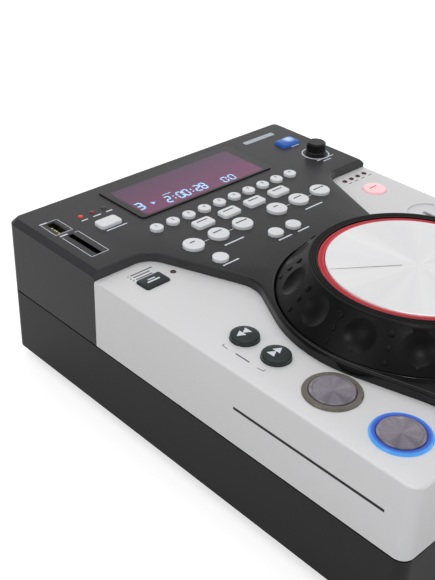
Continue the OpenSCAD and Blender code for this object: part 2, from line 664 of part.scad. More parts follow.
module key_boards() color(board_green) {
    // deck board
    difference() {
        union() {
            intersection() {
                prism(deck_path, deck_board - board_t, deck_board, wall + 1, 15);
                block(-68, 68, small_key_y - 10, num_y + 8.5, deck_board - 5, deck_board + 5);
            }
            for (k = deck_round_keys) key_switch(k[0], k[1], deck_board);
            for (i = [1:4]) key_switch(bar_x(i), bar_y, deck_board);
        }
        for (p = case_posts) post(p, boss_r + 0.6, deck_board - 5, deck_board + 5);
        board_holes(deck_board_posts, deck_board);
    }
    // source key board
    difference() {
        union() {
            block(source_x - 16.5, source_x + 12.9, source_y - 7.5, led_y + 6, deck_board - board_t, deck_board);
            key_switch(source_x, source_y, deck_board);
        }
        board_holes(left_board_posts, deck_board);
    }
    // eject key and track encoder board
    difference() {
        union() {
            block(eject_x - 10.5, eject_x + 18, knob_y - 10, eject_y + 9, deck_board - board_t, deck_board);
            key_switch(eject_x, eject_y, deck_board);
            block(knob_x - encoder_w / 2, knob_x + encoder_w / 2, knob_y - encoder_w / 2, knob_y + encoder_w / 2,
                  deck_board - eps, deck_board + encoder_h);
            post([knob_x, knob_y], bush_r, deck_board + encoder_h - eps, deck_h);
        }
        post([knob_x, knob_y], plunger_r + run_gap, deck_board + 2, deck_h + 1);
        board_holes(right_board_posts, deck_board);
    }
    // left cheek board
    difference() {
        union() {
            block(-half_w + 8, -half_w + 35.5, -half_d + 11.5, mode_y + 7, cheek_board - board_t, cheek_board);
            for (k = left_round_keys) key_switch(k[0], k[1], cheek_board);
            for (p = cap_places) key_switch(p[0], p[1], cheek_board);
            key_switch(-cheek_x, mode_y, cheek_board);
        }
        board_holes(left_cheek_posts, cheek_board);
        for (p = cheek_posts) post(p, boss_r + 0.6, cheek_board - 5, cheek_board + 5);
    }
    // right cheek board with the fader's body
    difference() {
        union() {
            block(half_w - 35.5, half_w - 8, -half_d + 7.5, step_y - 3, cheek_board - board_t, cheek_board);
            for (k = right_round_keys) key_switch(k[0], k[1], cheek_board);
            block(fader_x - fader_body_w / 2, fader_x + fader_body_w / 2,
                  fader_y - fader_body_l / 2, fader_y + fader_body_l / 2, cheek_board - eps, fader_body_top);
        }
        block(fader_x - fader_slot_w / 2, fader_x + fader_slot_w / 2,
              fader_y - fader_slot_l / 2, fader_y + fader_slot_l / 2, cheek_board + 1.5, fader_body_top + 1);
        board_holes(right_cheek_posts, cheek_board);
        for (p = cheek_posts) post(p, boss_r + 0.6, cheek_board - 5, cheek_board + 5);
    }
    // optical fork astride the wheel's encoder skirt
    difference() {
        block(-4, 4, jog_y + sensor_r - 5, jog_y + sensor_r + 5, well_floor, well_floor + 8);
        post_ring(sensor_r - skirt_t / 2 - 0.8, sensor_r + skirt_t / 2 + 0.8, well_floor + 2, well_floor + 9);
    }
}

module post_ring(r0, r1, z0, z1) translate([0, jog_y, z0])
    rotate_extrude($fn = 128) translate([r0, 0]) square([r1 - r0, z1 - z0]);

// ---------- jog wheel ----------

wheel_bottom = well_floor + 1.5;
cone_foot = deck_h - 0.2;                     // where the wheel's straight foot ends
plate_top = wheel_top - 3;                    // the hub's plate, under the platter, ring and rim
plate_r = wheel_top_r - 1.6;
plate_t = 2.5;
accent_r0 = platter_r + 0.4;
accent_r1 = accent_r0 + accent_w;
flat_r0 = accent_r1 + 0.2;
cone_top_r = wheel_top_r + 1;
cone_top_z = wheel_top - 1;
cone_run = wheel_r - cone_top_r;
cone_rise = cone_top_z - cone_foot;
cone_slope = atan2(cone_rise, cone_run);
cone_normal = [sin(cone_slope), cos(cone_slope)];       // outward, as [radius, z]
inner_foot_r = wheel_r - rim_wall * cone_normal[0];
inner_foot_z = cone_foot - rim_wall * cone_normal[1];
inner_top_r = plate_r + 0.3;
inner_top_z = inner_foot_z + (inner_foot_r - inner_top_r) * tan(cone_slope);
flat_grooves = 3;
groove_pitch = (wheel_top_r - flat_r0) / (flat_grooves + 1);
dimple_ball = (dimple_r * dimple_r + dimple_depth * dimple_depth) / (2 * dimple_depth);
cone_rising = [-cone_normal[1], cone_normal[0]];        // up the slope, as [radius, z]
cone_bulge = 1.6;                                       // how far the slope bows outward, times k (1 - k)
dimple_mid = [(wheel_r + cone_top_r) / 2, (cone_foot + cone_top_z) / 2] + dimple_lift * cone_rising
    + cone_bulge / 4 * cone_normal;
dimple_centre = dimple_mid + (dimple_ball - dimple_depth) * cone_normal;

module jog_rim() color(rubber) translate([0, jog_y, 0]) difference() {
    rotate_extrude($fn = 180) polygon(concat(
        [[flat_r0, plate_top], [inner_top_r, plate_top], [inner_top_r, inner_top_z], [inner_foot_r, inner_foot_z],
         [inner_foot_r, wheel_bottom], [wheel_r - 0.4, wheel_bottom], [wheel_r, wheel_bottom + 0.4]],
        [[wheel_r, cone_foot], for (k = [0.25:0.25:0.75])
            [wheel_r - cone_run * k, cone_foot + cone_rise * k] + cone_bulge * k * (1 - k) * cone_normal],
        [[cone_top_r, cone_top_z], [wheel_top_r + 0.4, wheel_top - 0.2], [wheel_top_r, wheel_top]],
        [for (k = [flat_grooves:-1:1], p = [[0.35, 0], [0.15, -0.35], [-0.15, -0.35], [-0.35, 0]])
            [flat_r0 + k * groove_pitch + p[0], wheel_top + p[1]]],
        [[flat_r0, wheel_top]]));
    for (i = [0:dimples - 1]) rotate([0, 0, (i + 0.5) * 360 / dimples])
        translate([dimple_centre[0], 0, dimple_centre[1]]) sphere(r = dimple_ball, $fn = 64);
}

module jog_accent_ring() color(red_clear) translate([0, jog_y, 0]) rotate_extrude($fn = 180) polygon([
    [accent_r0, plate_top], [accent_r1, plate_top], [accent_r1, wheel_top - accent_sink - 0.5],
    [accent_r1 - 0.5, wheel_top - accent_sink], [accent_r0 + 0.5, wheel_top - accent_sink],
    [accent_r0, wheel_top - accent_sink - 0.5]]);

module jog_platter() color(spun_aluminium) translate([0, jog_y, 0]) rotate_extrude($fn = 180) polygon([
    [0, plate_top], [platter_r, plate_top], [platter_r, wheel_top - 0.4], [platter_r - 0.4, wheel_top],
    [platter_r * 0.5, wheel_top - 0.15], [0, wheel_top - 0.3]]);

hub_foot = hub_boss_top + 2 + seat_gap;        // the hub's boss stands on the bearing's flange
bearing_end = well_floor - wall - 5;
clip_gap = 0.2;

module jog_hub() color("#2c2c30") translate([0, jog_y, 0]) {
    rib_top = plate_top - plate_t;
    rotate_extrude($fn = 120) polygon([
        [0, bearing_end - 2], [jog_shaft_r, bearing_end - 2], [jog_shaft_r, hub_foot], [9, hub_foot],
        [9, rib_top], [sensor_r - skirt_t / 2, rib_top], [sensor_r - skirt_t / 2, well_floor + 3.5],
        [sensor_r + skirt_t / 2, well_floor + 3.5], [sensor_r + skirt_t / 2, rib_top],
        [plate_r, rib_top], [plate_r, plate_top], [0, plate_top]]);
    for (i = [0:5]) rotate([0, 0, i * 60 + 15])
        block(8, sensor_r - skirt_t / 2 + 0.2, -1, 1, rib_top - 8, rib_top + 0.5);
    // retaining clip
    post([0, 0], jog_shaft_r + 2.5, bearing_end - clip_gap - 1.2, bearing_end - clip_gap);
}

module slotted_hub() color("#2c2c30") difference() {
    jog_hub();
    translate([0, jog_y, 0]) for (i = [0:encoder_slots - 1]) rotate([0, 0, (i + 0.5) * 360 / encoder_slots])
        block(sensor_r - skirt_t, sensor_r + skirt_t, -1, 1, well_floor + 3, well_floor + 8);
}

module jog_bearing() color(brass) translate([0, jog_y, 0]) difference() {
    union() {
        cylinder_between(bearing_r, bearing_end, hub_boss_top);
        cylinder_between(bearing_flange_r, hub_boss_top, hub_boss_top + 2);
    }
    cylinder_between(jog_shaft_r + run_gap, bearing_end - 1, hub_boss_top + 3);
}

module cylinder_between(r, z0, z1) translate([0, 0, z0]) cylinder(r = r, h = z1 - z0, $fn = 64);

// ---------- knob and fader ----------

knob_base = deck_h + push_travel + float_gap;
plunger_lip = 0.8;                             // the plunger's shoulder, seated in the knob

module encoder_plunger() color(steel) translate([knob_x, knob_y, 0]) {
    cylinder_between(plunger_r, deck_board + 2 + push_travel + float_gap, knob_base + knob_h - 3);
    cylinder_between(plunger_r + plunger_lip, knob_base, knob_base + plunger_lip);
}

module track_knob() color(rubber) translate([knob_x, knob_y, 0]) difference() {
    rotate_extrude($fn = 96) polygon([
        [0, knob_base], [knob_r, knob_base], [knob_r, knob_base + 1], [knob_r - 0.6, knob_base + 1.4],
        [knob_r - 0.6, knob_base + knob_h - 0.8], [knob_r - 1.4, knob_base + knob_h], [0, knob_base + knob_h]]);
    cylinder_between(plunger_r + run_gap, knob_base - 1, knob_base + knob_h - 3 + run_gap);
    cylinder_between(plunger_r + plunger_lip + run_gap, knob_base - 1, knob_base + plunger_lip + run_gap);
    for (i = [0:17]) rotate([0, 0, i * 20 + 10]) translate([knob_r - 0.4, 0, knob_base + 2])
        cylinder(r = 0.6, h = knob_h - 3.4, $fn = 24);
    block(-0.5, 0.5, 1.5, knob_r - 2.4, knob_base + knob_h - 0.5, knob_base + knob_h + 1);
}

// The fader's cap: a saddle with a ribbed grip, a pointer groove and the lever below it.
module fader_cap() color(rubber) translate([fader_x, fader_y, 0]) {
    z0 = cheek_h + float_gap;
    z1 = z0 + fader_cap_h;
    half_l = fader_cap_d / 2;
    translate([-fader_cap_w / 2, 0, 0]) rotate([90, 0, 90]) linear_extrude(fader_cap_w) polygon([
        [-half_l, z0], [half_l, z0], [half_l, z0 + 2], [half_l - 2, z1 - 0.6], [half_l - 2.6, z1],
        [1, z1 - 1.2], [0.4, z1 - 1.3], [0.4, z1 - 1.9], [-0.4, z1 - 1.9], [-0.4, z1 - 1.3], [-1, z1 - 1.2],
        [-half_l + 2.6, z1], [-half_l + 2, z1 - 0.6], [-half_l, z0 + 2]]);
    block(-(fader_slot_w / 2 - float_gap), fader_slot_w / 2 - float_gap, -2.5, 2.5, cheek_board + 2.5, z0 + eps);
}

// ---------- media sockets ----------

usb_depth = 14;
card_depth = 24;

// A block round a slot of size t by w, grown by g on each side.
module slot_box(x, y, t, w, g, z0, z1) block(x - t / 2 - g, x + t / 2 + g, y - w / 2 - g, y + w / 2 + g, z0, z1);

module media_sockets() color("#c9cbd0") {
    // USB socket: a plated shell in the deck's opening, its flange under the deck, and its contact tongue
    difference() {
        union() {
            slot_box(usb_x, usb_y, usb_t, usb_w, usb_shell, deck_under - usb_depth, deck_h - 0.3);
            slot_box(usb_x, usb_y, usb_t, usb_w, 2.5, deck_under - 2, deck_under);
        }
        difference() {
            slot_box(usb_x, usb_y, usb_t, usb_w, 0, deck_under - usb_depth + 2, deck_h + 1);
            block(usb_x - usb_t / 2 + 0.6, usb_x - usb_t / 2 + 2.4,
                  usb_y - usb_w / 2 + 0.7, usb_y + usb_w / 2 - 0.7, deck_under - usb_depth + 1, deck_h - 2);
        }
    }
    // card socket under its slot
    difference() {
        slot_box(card_x, card_y, card_t, card_w, 2, deck_under - card_depth, deck_under);
        slot_box(card_x, card_y, card_t, card_w, 0, deck_under - card_depth + 2, deck_under + 1);
    }
}

// ---------- base ----------

bay_z0 = foot_h + 6;
bay_y = half_d - bay_depth;                    // the face of the socket panel
bay_z = bay_z0 + bay_h / 2;
inlet_x = -62;
rocker_x = -28;
phono_x = [24, 42, 60];
start_x = 80;
inlet_cut = [27.4, 20.2];
rocker_cut = [13, 19];
base_edge = 1.5;
vent_l = 34;
vent_w = 3;
drive_boss_h = foot_h + 5;                     // the drive stands on bosses of this height
board_stand = foot_h + 9;                      // the lower boards stand on posts of this height

drive_w = 148;
drive_front = -half_d + wall + 2;
drive_back = drive_front + 154;
drive_bosses = [for (s = [-1, 1], y = [drive_front + 20, drive_back - 20]) [s * (drive_w / 2 + 6), y]];
board_front = drive_back + 6;
board_back = bay_y - 22;
main_posts = [for (x = [-half_w + 16, -2], y = [board_front + 6, board_back - 6]) [x, y]];
supply_posts = [for (x = [42, half_w - 16], y = [board_front + 6, board_back - 6]) [x, y]];

module base_housing() color(base_abs) difference() {
    loft(case_path, [[foot_h, base_edge], [foot_h + base_edge, 0], [seam_h - seam_groove, 0],
                     [seam_h - seam_groove, seam_depth], [seam_h, seam_depth]]);
    difference() {
        prism(case_path, floor_top, seam_h + 1, wall);
        for (p = concat(case_posts, cheek_posts)) post(p, boss_r, foot_h + 1, seam_h);
        for (p = foot_places) post(p, boss_r, foot_h + 1, floor_top + 5);
        for (p = drive_bosses) post(p, boss_r, foot_h + 1, drive_boss_h);
        for (p = concat(main_posts, supply_posts)) post(p, 3, foot_h + 1, board_stand);
        block(-bay_w / 2 - wall, bay_w / 2 + wall, bay_y - wall, half_d, bay_z0 - wall, bay_z0 + bay_h + wall);
    }
    // disc slot with a bevelled mouth
    block(-slot_w / 2, slot_w / 2, -half_d - 1, -half_d + wall + 1, slot_h, slot_h + slot_t);
    translate([-slot_w / 2 - 1, 0, 0]) rotate([90, 0, 90]) linear_extrude(slot_w + 2) polygon([
        [-half_d - 1, slot_h - 2.2], [-half_d + 1.2, slot_h], [-half_d + 1.2, slot_h + slot_t],
        [-half_d - 1, slot_h + slot_t + 2.2]]);
    // socket bay and its cut-outs
    block(-bay_w / 2, bay_w / 2, bay_y, half_d + 1, bay_z0, bay_z0 + bay_h);
    block(inlet_x - inlet_cut[0] / 2, inlet_x + inlet_cut[0] / 2, bay_y - wall - 1, bay_y + 1,
          bay_z - inlet_cut[1] / 2, bay_z + inlet_cut[1] / 2);
    block(rocker_x - rocker_cut[0] / 2, rocker_x + rocker_cut[0] / 2, bay_y - wall - 1, bay_y + 1,
          bay_z - rocker_cut[1] / 2, bay_z + rocker_cut[1] / 2);
    for (x = concat(phono_x, [start_x])) back_cylinder(x, 5 + seat_gap, bay_y - wall - 1, bay_y + 1);
    // screw holes
    for (p = concat(case_posts, cheek_posts)) {
        post(p, screw_r + 0.2, foot_h - 1, seam_h + 1);
        post(p, 3.2, foot_h - 1, foot_h + 4);
    }
    for (p = foot_places) post(p, screw_r + pilot_gap, foot_h - 1, floor_top + 4);
    for (p = drive_bosses) post(p, screw_r + pilot_gap, foot_h + 1, drive_boss_h + 1);
    for (p = concat(main_posts, supply_posts)) post(p, screw_r + pilot_gap, foot_h + 2, board_stand + 1);
    // vents under the boards
    for (s = [-1, 1], i = [0:5]) block(s * 62 - vent_l / 2, s * 62 + vent_l / 2,
        drive_back + 24 + i * 8, drive_back + 24 + i * 8 + vent_w, foot_h - 1, floor_top + 1);
}

module back_cylinder(x, r, y0, y1) translate([x, y1, bay_z]) rotate([90, 0, 0])
    cylinder(r = r, h = y1 - y0, $fn = 64);

foot_r_low = 9.5;
foot_r_high = 11;
foot_recess = 3;

module feet() color(rubber) for (p = foot_places) translate([p[0], p[1], 0]) difference() {
    rotate_extrude($fn = 72)
        polygon([[0, 0], [foot_r_low - 0.5, 0], [foot_r_low, 0.5], [foot_r_high, foot_h], [0, foot_h]]);
    cylinder_between(screw_r + 0.1, -1, foot_h + 1);
    cylinder_between(3.4, -1, foot_recess);
}

// ---------- screws ----------

module screw(p, head_z, l, r = screw_r, head_r = 2.8, head_t = 1.6, up = true) translate([p[0], p[1], head_z])
    mirror([0, 0, up ? 0 : 1]) difference() {
        union() {
            cylinder_between(head_r, -head_t, 0);
            cylinder_between(r, -0.1, l);
        }
        for (a = [0, 90]) rotate([0, 0, a])
            block(-head_r * 0.55, head_r * 0.55, -0.3, 0.3, -head_t - 1, -head_t + 0.8);
    }

module screws() color(steel) {
    for (p = concat(case_posts, cheek_posts)) screw(p, foot_h + 4, seam_h - foot_h + 8);
    for (p = foot_places) screw(p, foot_recess, foot_h - foot_recess + wall + 3);
    for (p = drive_bosses) screw(p, drive_boss_h + sheet_t, 4, up = false);
    for (p = concat(main_posts, supply_posts)) screw(p, board_stand + board_t, 5, up = false);
    for (p = concat(deck_board_posts, left_board_posts, right_board_posts))
        screw(p, deck_board - board_t, 5, board_screw_r, 2, 1.2);
    for (p = concat(left_cheek_posts, right_cheek_posts))
        screw(p, cheek_board - board_t, 5, board_screw_r, 2, 1.2);
}

// ---------- lower boards ----------

chip_t = 1.6;
core_h = 22;         // the transformer's core
fins = 7;
fin_pitch = 3.5;
fin_t = 1.4;

module circuit_boards() color(board_green) {
    top = board_stand + board_t;
    // main board
    difference() {
        block(-half_w + 10, 22, board_front, board_back, board_stand, top);
        for (p = main_posts) post(p, screw_r + 0.1, board_stand - 1, top + 1);
        for (p = concat(case_posts, cheek_posts)) post(p, boss_r + 0.6, board_stand - 1, top + 1);
    }
    for (c = [[-70, 34, 9], [-40, 56, 7], [-4, 42, 6]])
        block(c[0] - c[2], c[0] + c[2], board_front + c[1] - c[2], board_front + c[1] + c[2], top, top + chip_t);
    for (x = [-half_w + 28.5, -52, -10]) block(x - 12, x + 12, board_back - 24, board_back - 18, top, top + 6);
    // supply board: transformer, reservoir capacitors and a finned heat sink
    difference() {
        block(36, half_w - 10, board_front, board_back, board_stand, top);
        for (p = supply_posts) post(p, screw_r + 0.1, board_stand - 1, top + 1);
        for (p = concat(case_posts, cheek_posts)) post(p, boss_r + 0.6, board_stand - 1, top + 1);
    }
    core_x = half_w - 40.5;
    core_y = board_back - 37;
    block(core_x - 20, core_x + 20, core_y - 17, core_y + 17, top, top + core_h);
    block(core_x - 14, core_x + 14, core_y - 21, core_y + 21, top + 3, top + core_h - 3);
    for (x = [54, 72]) post([x, board_front + 26], 7, top, top + 24);
    sink_x = half_w - 20.5;
    sink_y = board_front + 14;
    for (i = [0:fins - 1])
        block(sink_x - 6, sink_x + 6, sink_y + i * fin_pitch, sink_y + i * fin_pitch + fin_t, top + 1, top + 20);
    block(sink_x - 6, sink_x + 6, sink_y, sink_y + (fins - 1) * fin_pitch + fin_t, top, top + fin_t);
}

// ---------- back sockets ----------

pin_gap = 7;         // between the inlet's pins
rocker_half = 8.2;
rocker_w = 10.6;
rocker_axis_y = bay_y - 2;
rocker_pin_r = 1.2;
rocker_pin_half = 6;

module rear_sockets() color("#3a3a3e") {
    // mains inlet
    difference() {
        union() {
            block(inlet_x - 15.5, inlet_x + 15.5, bay_y, bay_y + 2.5, bay_z - 11.5, bay_z + 11.5);
            block(inlet_x - inlet_cut[0] / 2 + 0.1, inlet_x + inlet_cut[0] / 2 - 0.1, bay_y - 18, bay_y + eps,
                  bay_z - inlet_cut[1] / 2 + 0.1, bay_z + inlet_cut[1] / 2 - 0.1);
        }
        difference() {
            block(inlet_x - 12.2, inlet_x + 12.2, bay_y - 14, bay_y + 3, bay_z - 8.2, bay_z + 8.2);
            for (i = [-1:1]) block(inlet_x + i * pin_gap - 1, inlet_x + i * pin_gap + 1, bay_y - 16, bay_y - 1,
                bay_z + (i == 0 ? 1.5 : -3.4), bay_z + (i == 0 ? 5.5 : 0.6));
        }
    }
    // phono jacks
    for (x = phono_x) difference() {
        union() {
            back_cylinder(x, 5, bay_y - wall - 8, bay_y + 0.4);
            back_cylinder(x, phono_r, bay_y, bay_y + 1.6 + phono_l);
            back_cylinder(x, 5.6, bay_y, bay_y + 1.6);
            block(x - 6, x + 6, bay_y - wall - 10, bay_y - wall, bay_z - 7, bay_z + 6);
        }
        back_cylinder(x, 1.7, bay_y - 1, bay_y + 20);
    }
    // start jack
    difference() {
        union() {
            back_cylinder(start_x, 5, bay_y - wall - 8, bay_y + 0.4);
            back_cylinder(start_x, 5.6, bay_y, bay_y + 2);
            block(start_x - 6, start_x + 6, bay_y - wall - 10, bay_y - wall, bay_z - 7, bay_z + 6);
        }
        back_cylinder(start_x, 1.8, bay_y - 10, bay_y + 20);
    }
    // the rocker's frame
    difference() {
        union() {
            block(rocker_x - 8, rocker_x + 8, bay_y, bay_y + 1.6, bay_z - 11, bay_z + 11);
            block(rocker_x - rocker_cut[0] / 2 + 0.1, rocker_x + rocker_cut[0] / 2 - 0.1, bay_y - 14, bay_y + eps,
                  bay_z - rocker_cut[1] / 2 + 0.1, bay_z + rocker_cut[1] / 2 - 0.1);
        }
        block(rocker_x - rocker_w / 2 - float_gap, rocker_x + rocker_w / 2 + float_gap, bay_y - 12, bay_y + 3,
              bay_z - rocker_half - 0.4, bay_z + rocker_half + 0.4);
        translate([rocker_x - rocker_pin_half - 0.2, rocker_axis_y, bay_z]) rotate([0, 90, 0])
            cylinder(r = rocker_pin_r + run_gap, h = 2 * rocker_pin_half + 0.4, $fn = 32);
    }
}

// The rocker rests with its lower half pressed in, and swings about its pin.
module power_rocker() color(rubber) translate([rocker_x, rocker_axis_y, bay_z]) rotate([-rocker_swing / 2, 0, 0]) {
    intersection() {
        rotate([0, 90, 0]) translate([0, 0, -rocker_w / 2]) cylinder(r = rocker_half, h = rocker_w, $fn = 96);
        translate([-rocker_w / 2, 0, 0]) rotate([90, 0, 90]) linear_extrude(rocker_w) polygon([
            [-3.5, -4], [1.5, -9], [6, -9], [3.6, 0], [6, 9], [1.5, 9], [-3.5, 4]]);
    }
    rotate([0, 90, 0]) translate([0, 0, -rocker_pin_half])
        cylinder(r = rocker_pin_r, h = 2 * rocker_pin_half, $fn = 32);
}

// ---------- disc drive ----------

drive_floor = drive_boss_h;
sheet_t = 1.2;
drive_wall_h = 31;
spindle_y = drive_front + 77.5;
spindle_top = slot_h - 0.2;
roller_y = drive_front + 8;
roller_r = 4.3;
roller_z = slot_h - 0.3 - roller_r;
roller_shaft_r = 1.5;
roller_half = slot_w / 2 - 4;
rod_x = 20;
rod_r = 1.5;
rod_z = drive_floor + 7;
sled_front = spindle_y + 16;
sled_d = 20;
sled_top = slot_h - 1.4;
rod_front = spindle_y + 9;
rod_back = sled_front + sled_d + sled_travel + 2;
clamp_axis_y = drive_back - 7;
clamp_axis_z = slot_h + slot_t + 5.5;
clamp_pin_r = 1.5;
puck_r = 12;
puck_z = slot_h + slot_t + 0.2;
arm_w = 24;
ear_x = 15;
turntable_z = spindle_top - 1.4;
motor_top = turntable_z - 3;
puck_bore_r = 8.2;    // the puck's hollow, which clears the spindle's cone
puck_bore_h = 2.5;

module drive_chassis() color(steel) {
    floor_z = drive_floor;
    // folded tray with tabs on the bosses
    difference() {
        union() {
            block(-drive_w / 2, drive_w / 2, drive_front, drive_back, floor_z, floor_z + sheet_t);
            for (x = [-drive_w / 2, drive_w / 2 - sheet_t])
                block(x, x + sheet_t, drive_front, drive_back, floor_z, floor_z + drive_wall_h);
            block(-drive_w / 2, drive_w / 2, drive_back - sheet_t, drive_back, floor_z, floor_z + drive_wall_h);
            for (p = drive_bosses)
                block(p[0] < 0 ? p[0] - 5 : drive_w / 2, p[0] < 0 ? -drive_w / 2 : p[0] + 5,
                      p[1] - 6, p[1] + 6, floor_z, floor_z + sheet_t);
            for (s = [-1, 1]) block(s * rod_x - 3, s * rod_x + 3, rod_front - 4, rod_front, floor_z, rod_z + 3);
            for (s = [-1, 1]) block(s * rod_x - 3, s * rod_x + 3, rod_back, rod_back + 3, floor_z, rod_z + 3);
            for (s = [-1, 1]) block(s * (ear_x + 1) - 1, s * (ear_x + 1) + 1, clamp_axis_y - 4, drive_back,
                clamp_axis_z - 4, clamp_axis_z + 4);
            block(-ear_x - 2, ear_x + 2, clamp_axis_y + 4.5, drive_back, floor_z, clamp_axis_z + 4);
            translate([0, spindle_y, 0]) cylinder_between(12, floor_z, motor_top);
        }
        for (p = drive_bosses) post(p, screw_r + 0.2, floor_z - 1, floor_z + 3);
        translate([0, spindle_y, 0]) cylinder_between(1 + run_gap, floor_z + 2, motor_top + 1);
        translate([-drive_w / 2 - 1, roller_y, roller_z]) rotate([0, 90, 0])
            cylinder(r = roller_shaft_r + run_gap, h = drive_w + 2, $fn = 32);
        translate([-ear_x - 3, clamp_axis_y, clamp_axis_z]) rotate([0, 90, 0])
            cylinder(r = clamp_pin_r + run_gap, h = 2 * ear_x + 6, $fn = 32);
        block(-40, -28, spindle_y - 20, spindle_y + 40, floor_z - 1, floor_z + 2);
        block(28, 40, spindle_y - 20, spindle_y + 40, floor_z - 1, floor_z + 2);
    }
    // guide rods
    for (s = [-1, 1]) translate([s * rod_x, rod_front - eps, rod_z]) rotate([-90, 0, 0])
        cylinder(r = rod_r, h = rod_back - rod_front + 2 * eps, $fn = 32);
}

// The tapered rubber roller that draws a disc in by its edges.
module feed_roller() color(rubber) translate([0, roller_y, roller_z]) rotate([0, 90, 0]) {
    rotate_extrude($fn = 48) polygon([
        [0, -roller_half], [roller_r, -roller_half], [roller_r, -roller_half + 6], [roller_r - 0.8, 0],
        [roller_r, roller_half - 6], [roller_r, roller_half], [0, roller_half]]);
    translate([0, 0, -drive_w / 2 - 1]) cylinder(r = roller_shaft_r, h = drive_w + 2, $fn = 32);
}

module spindle_hub() color("#4a4c50") translate([0, spindle_y, 0]) {
    rotate_extrude($fn = 72) polygon([
        [0, motor_top + 0.4], [14, motor_top + 0.4], [14, turntable_z], [7.4, turntable_z],
        [7.2, turntable_z + 0.8], [5.6, spindle_top], [0, spindle_top]]);
    cylinder_between(1, floor_top + 7, motor_top + 1);
}

module pickup_sled() color("#303236") difference() {
    union() {
        block(-rod_x - 4, rod_x + 4, sled_front, sled_front + sled_d, rod_z - 3, rod_z + 3);
        block(-11, 11, sled_front + 1, sled_front + sled_d - 1, rod_z + 2.5, sled_top - 1.2);
        post([0, sled_front + sled_d / 2], 4, sled_top - 1.4, sled_top);
    }
    for (s = [-1, 1]) translate([s * rod_x, sled_front - 1, rod_z]) rotate([-90, 0, 0])
        cylinder(r = rod_r + run_gap, h = sled_d + 2, $fn = 32);
}

// The clamp's arm is drawn lifted, its puck just above the disc's path.
module clamp_arm() color(steel) {
    z0 = clamp_axis_z - sheet_t / 2;
    block(-arm_w / 2, arm_w / 2, spindle_y + 8, clamp_axis_y, z0, z0 + sheet_t);
    translate([0, spindle_y, 0]) difference() {
        union() {
            cylinder_between(arm_w / 2, z0, z0 + sheet_t);
            cylinder_between(puck_r, puck_z, z0 + eps);
        }
        cylinder_between(puck_bore_r, puck_z - 1, puck_z + puck_bore_h);
    }
    translate([-ear_x - 2, clamp_axis_y, clamp_axis_z]) rotate([0, 90, 0])
        cylinder(r = clamp_pin_r, h = 2 * ear_x + 4, $fn = 32);
}

// ---------- nodes ----------

base_housing();
top_housing();
side_panel_left();
side_panel_right();
feet();
screws();
jog_rim();
jog_accent_ring();
jog_platter();
slotted_hub();  // jog_hub
jog_bearing();
display_window();
display_module();
key_boards();
circuit_boards();
light_pipes();
media_sockets();
rear_sockets();
power_rocker();
for (i = [1:10]) num_key(i);
for (i = [1:4]) bar_key_at(i);
for (i = [0:5]) loop_key(i);
tap_key();
reverse_key();
brake_key();
source_key();
eject_key();
jog_mode_key();
search_back_key();
search_forward_key();
cue_button();
play_button();
pitch_key();
bend_down_key();
bend_up_key();
encoder_plunger();
track_knob();
fader_cap();
drive_chassis();
feed_roller();
spindle_hub();
pickup_sled();
clamp_arm();
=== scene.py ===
# %% [markdown]
# # A tabletop disc player, dressed around its CAD frame
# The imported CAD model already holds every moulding, key and wheel at its real size and place. This
# notebook gives each of them its finish and adds the thin things that a print shop or a lens maker would
# add: printed lines, display digits, raised dots, contacts. Everything is in metres, so sizes are written
# in millimetres times MM.

# %% Load the frame
import bpy
import json
import math
from mathutils import Matrix, Vector


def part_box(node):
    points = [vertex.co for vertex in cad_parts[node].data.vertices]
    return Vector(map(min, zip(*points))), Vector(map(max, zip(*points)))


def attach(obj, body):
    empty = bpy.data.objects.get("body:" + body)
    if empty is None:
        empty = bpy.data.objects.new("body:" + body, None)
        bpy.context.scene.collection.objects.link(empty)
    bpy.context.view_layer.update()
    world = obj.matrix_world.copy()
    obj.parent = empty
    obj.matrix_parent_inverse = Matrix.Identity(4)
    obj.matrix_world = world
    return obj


MM = 0.001
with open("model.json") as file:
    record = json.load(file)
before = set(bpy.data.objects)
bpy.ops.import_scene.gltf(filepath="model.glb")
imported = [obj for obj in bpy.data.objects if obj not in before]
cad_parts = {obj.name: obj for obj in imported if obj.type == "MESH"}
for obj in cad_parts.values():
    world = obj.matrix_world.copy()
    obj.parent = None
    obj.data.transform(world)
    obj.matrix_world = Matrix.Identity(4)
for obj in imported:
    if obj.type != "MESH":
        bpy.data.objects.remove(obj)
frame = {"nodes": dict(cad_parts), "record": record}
bpy.ops.object.select_all(action="DESELECT")
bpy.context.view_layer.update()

# %% [markdown]
# ## Where things are
# Keys and lights are placed from the frame itself: the middle and the top of a node's box. A small table
# says which body each node belongs to, so that a mark printed on a key travels with that key.

# %% Places from the frame
BODIES = frame["record"]["behaviour"]["bodies"]
BODY_OF = {node: body for body, nodes in BODIES.items() for node in nodes}


def middle(node):
    low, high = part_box(node)
    return (low + high) / 2


def top(node):
    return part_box(node)[1].z


DECK = top("top_housing")
CHEEK = top("side_panel_left")
JOG = middle("jog_rim")
print("deck", round(DECK / MM, 2), "mm, cheek", round(CHEEK / MM, 2), "mm")
print("jog axis in mm:", [round(v / MM, 2) for v in JOG[:2]])

# %% [markdown]
# ## Smooth shading on the CAD meshes
# The frame's meshes are loose triangles. A Weld modifier joins their shared corners, and an Edge Split at
# 30 degrees keeps the true edges sharp while the curved faces shade smoothly. Both are modifiers, so the
# mesh keeps its triangles.

# %% Weld and edge split on every CAD node
WELD = 0.001 * MM
CREASE = math.radians(30)

for node in frame["nodes"].values():
    weld = node.modifiers.new("weld", "WELD")
    weld.merge_threshold = WELD
    split = node.modifiers.new("crease", "EDGE_SPLIT")
    split.split_angle = CREASE
    for face in node.data.polygons:
        face.use_smooth = True
print(len(frame["nodes"]), "CAD nodes welded")

# %% [markdown]
# ## Colours and nodes
# Colours are written as the sRGB hex values that a designer would note down. One function turns them to
# the linear values that Blender's shaders expect, and one small function adds a node with its settings
# and links.


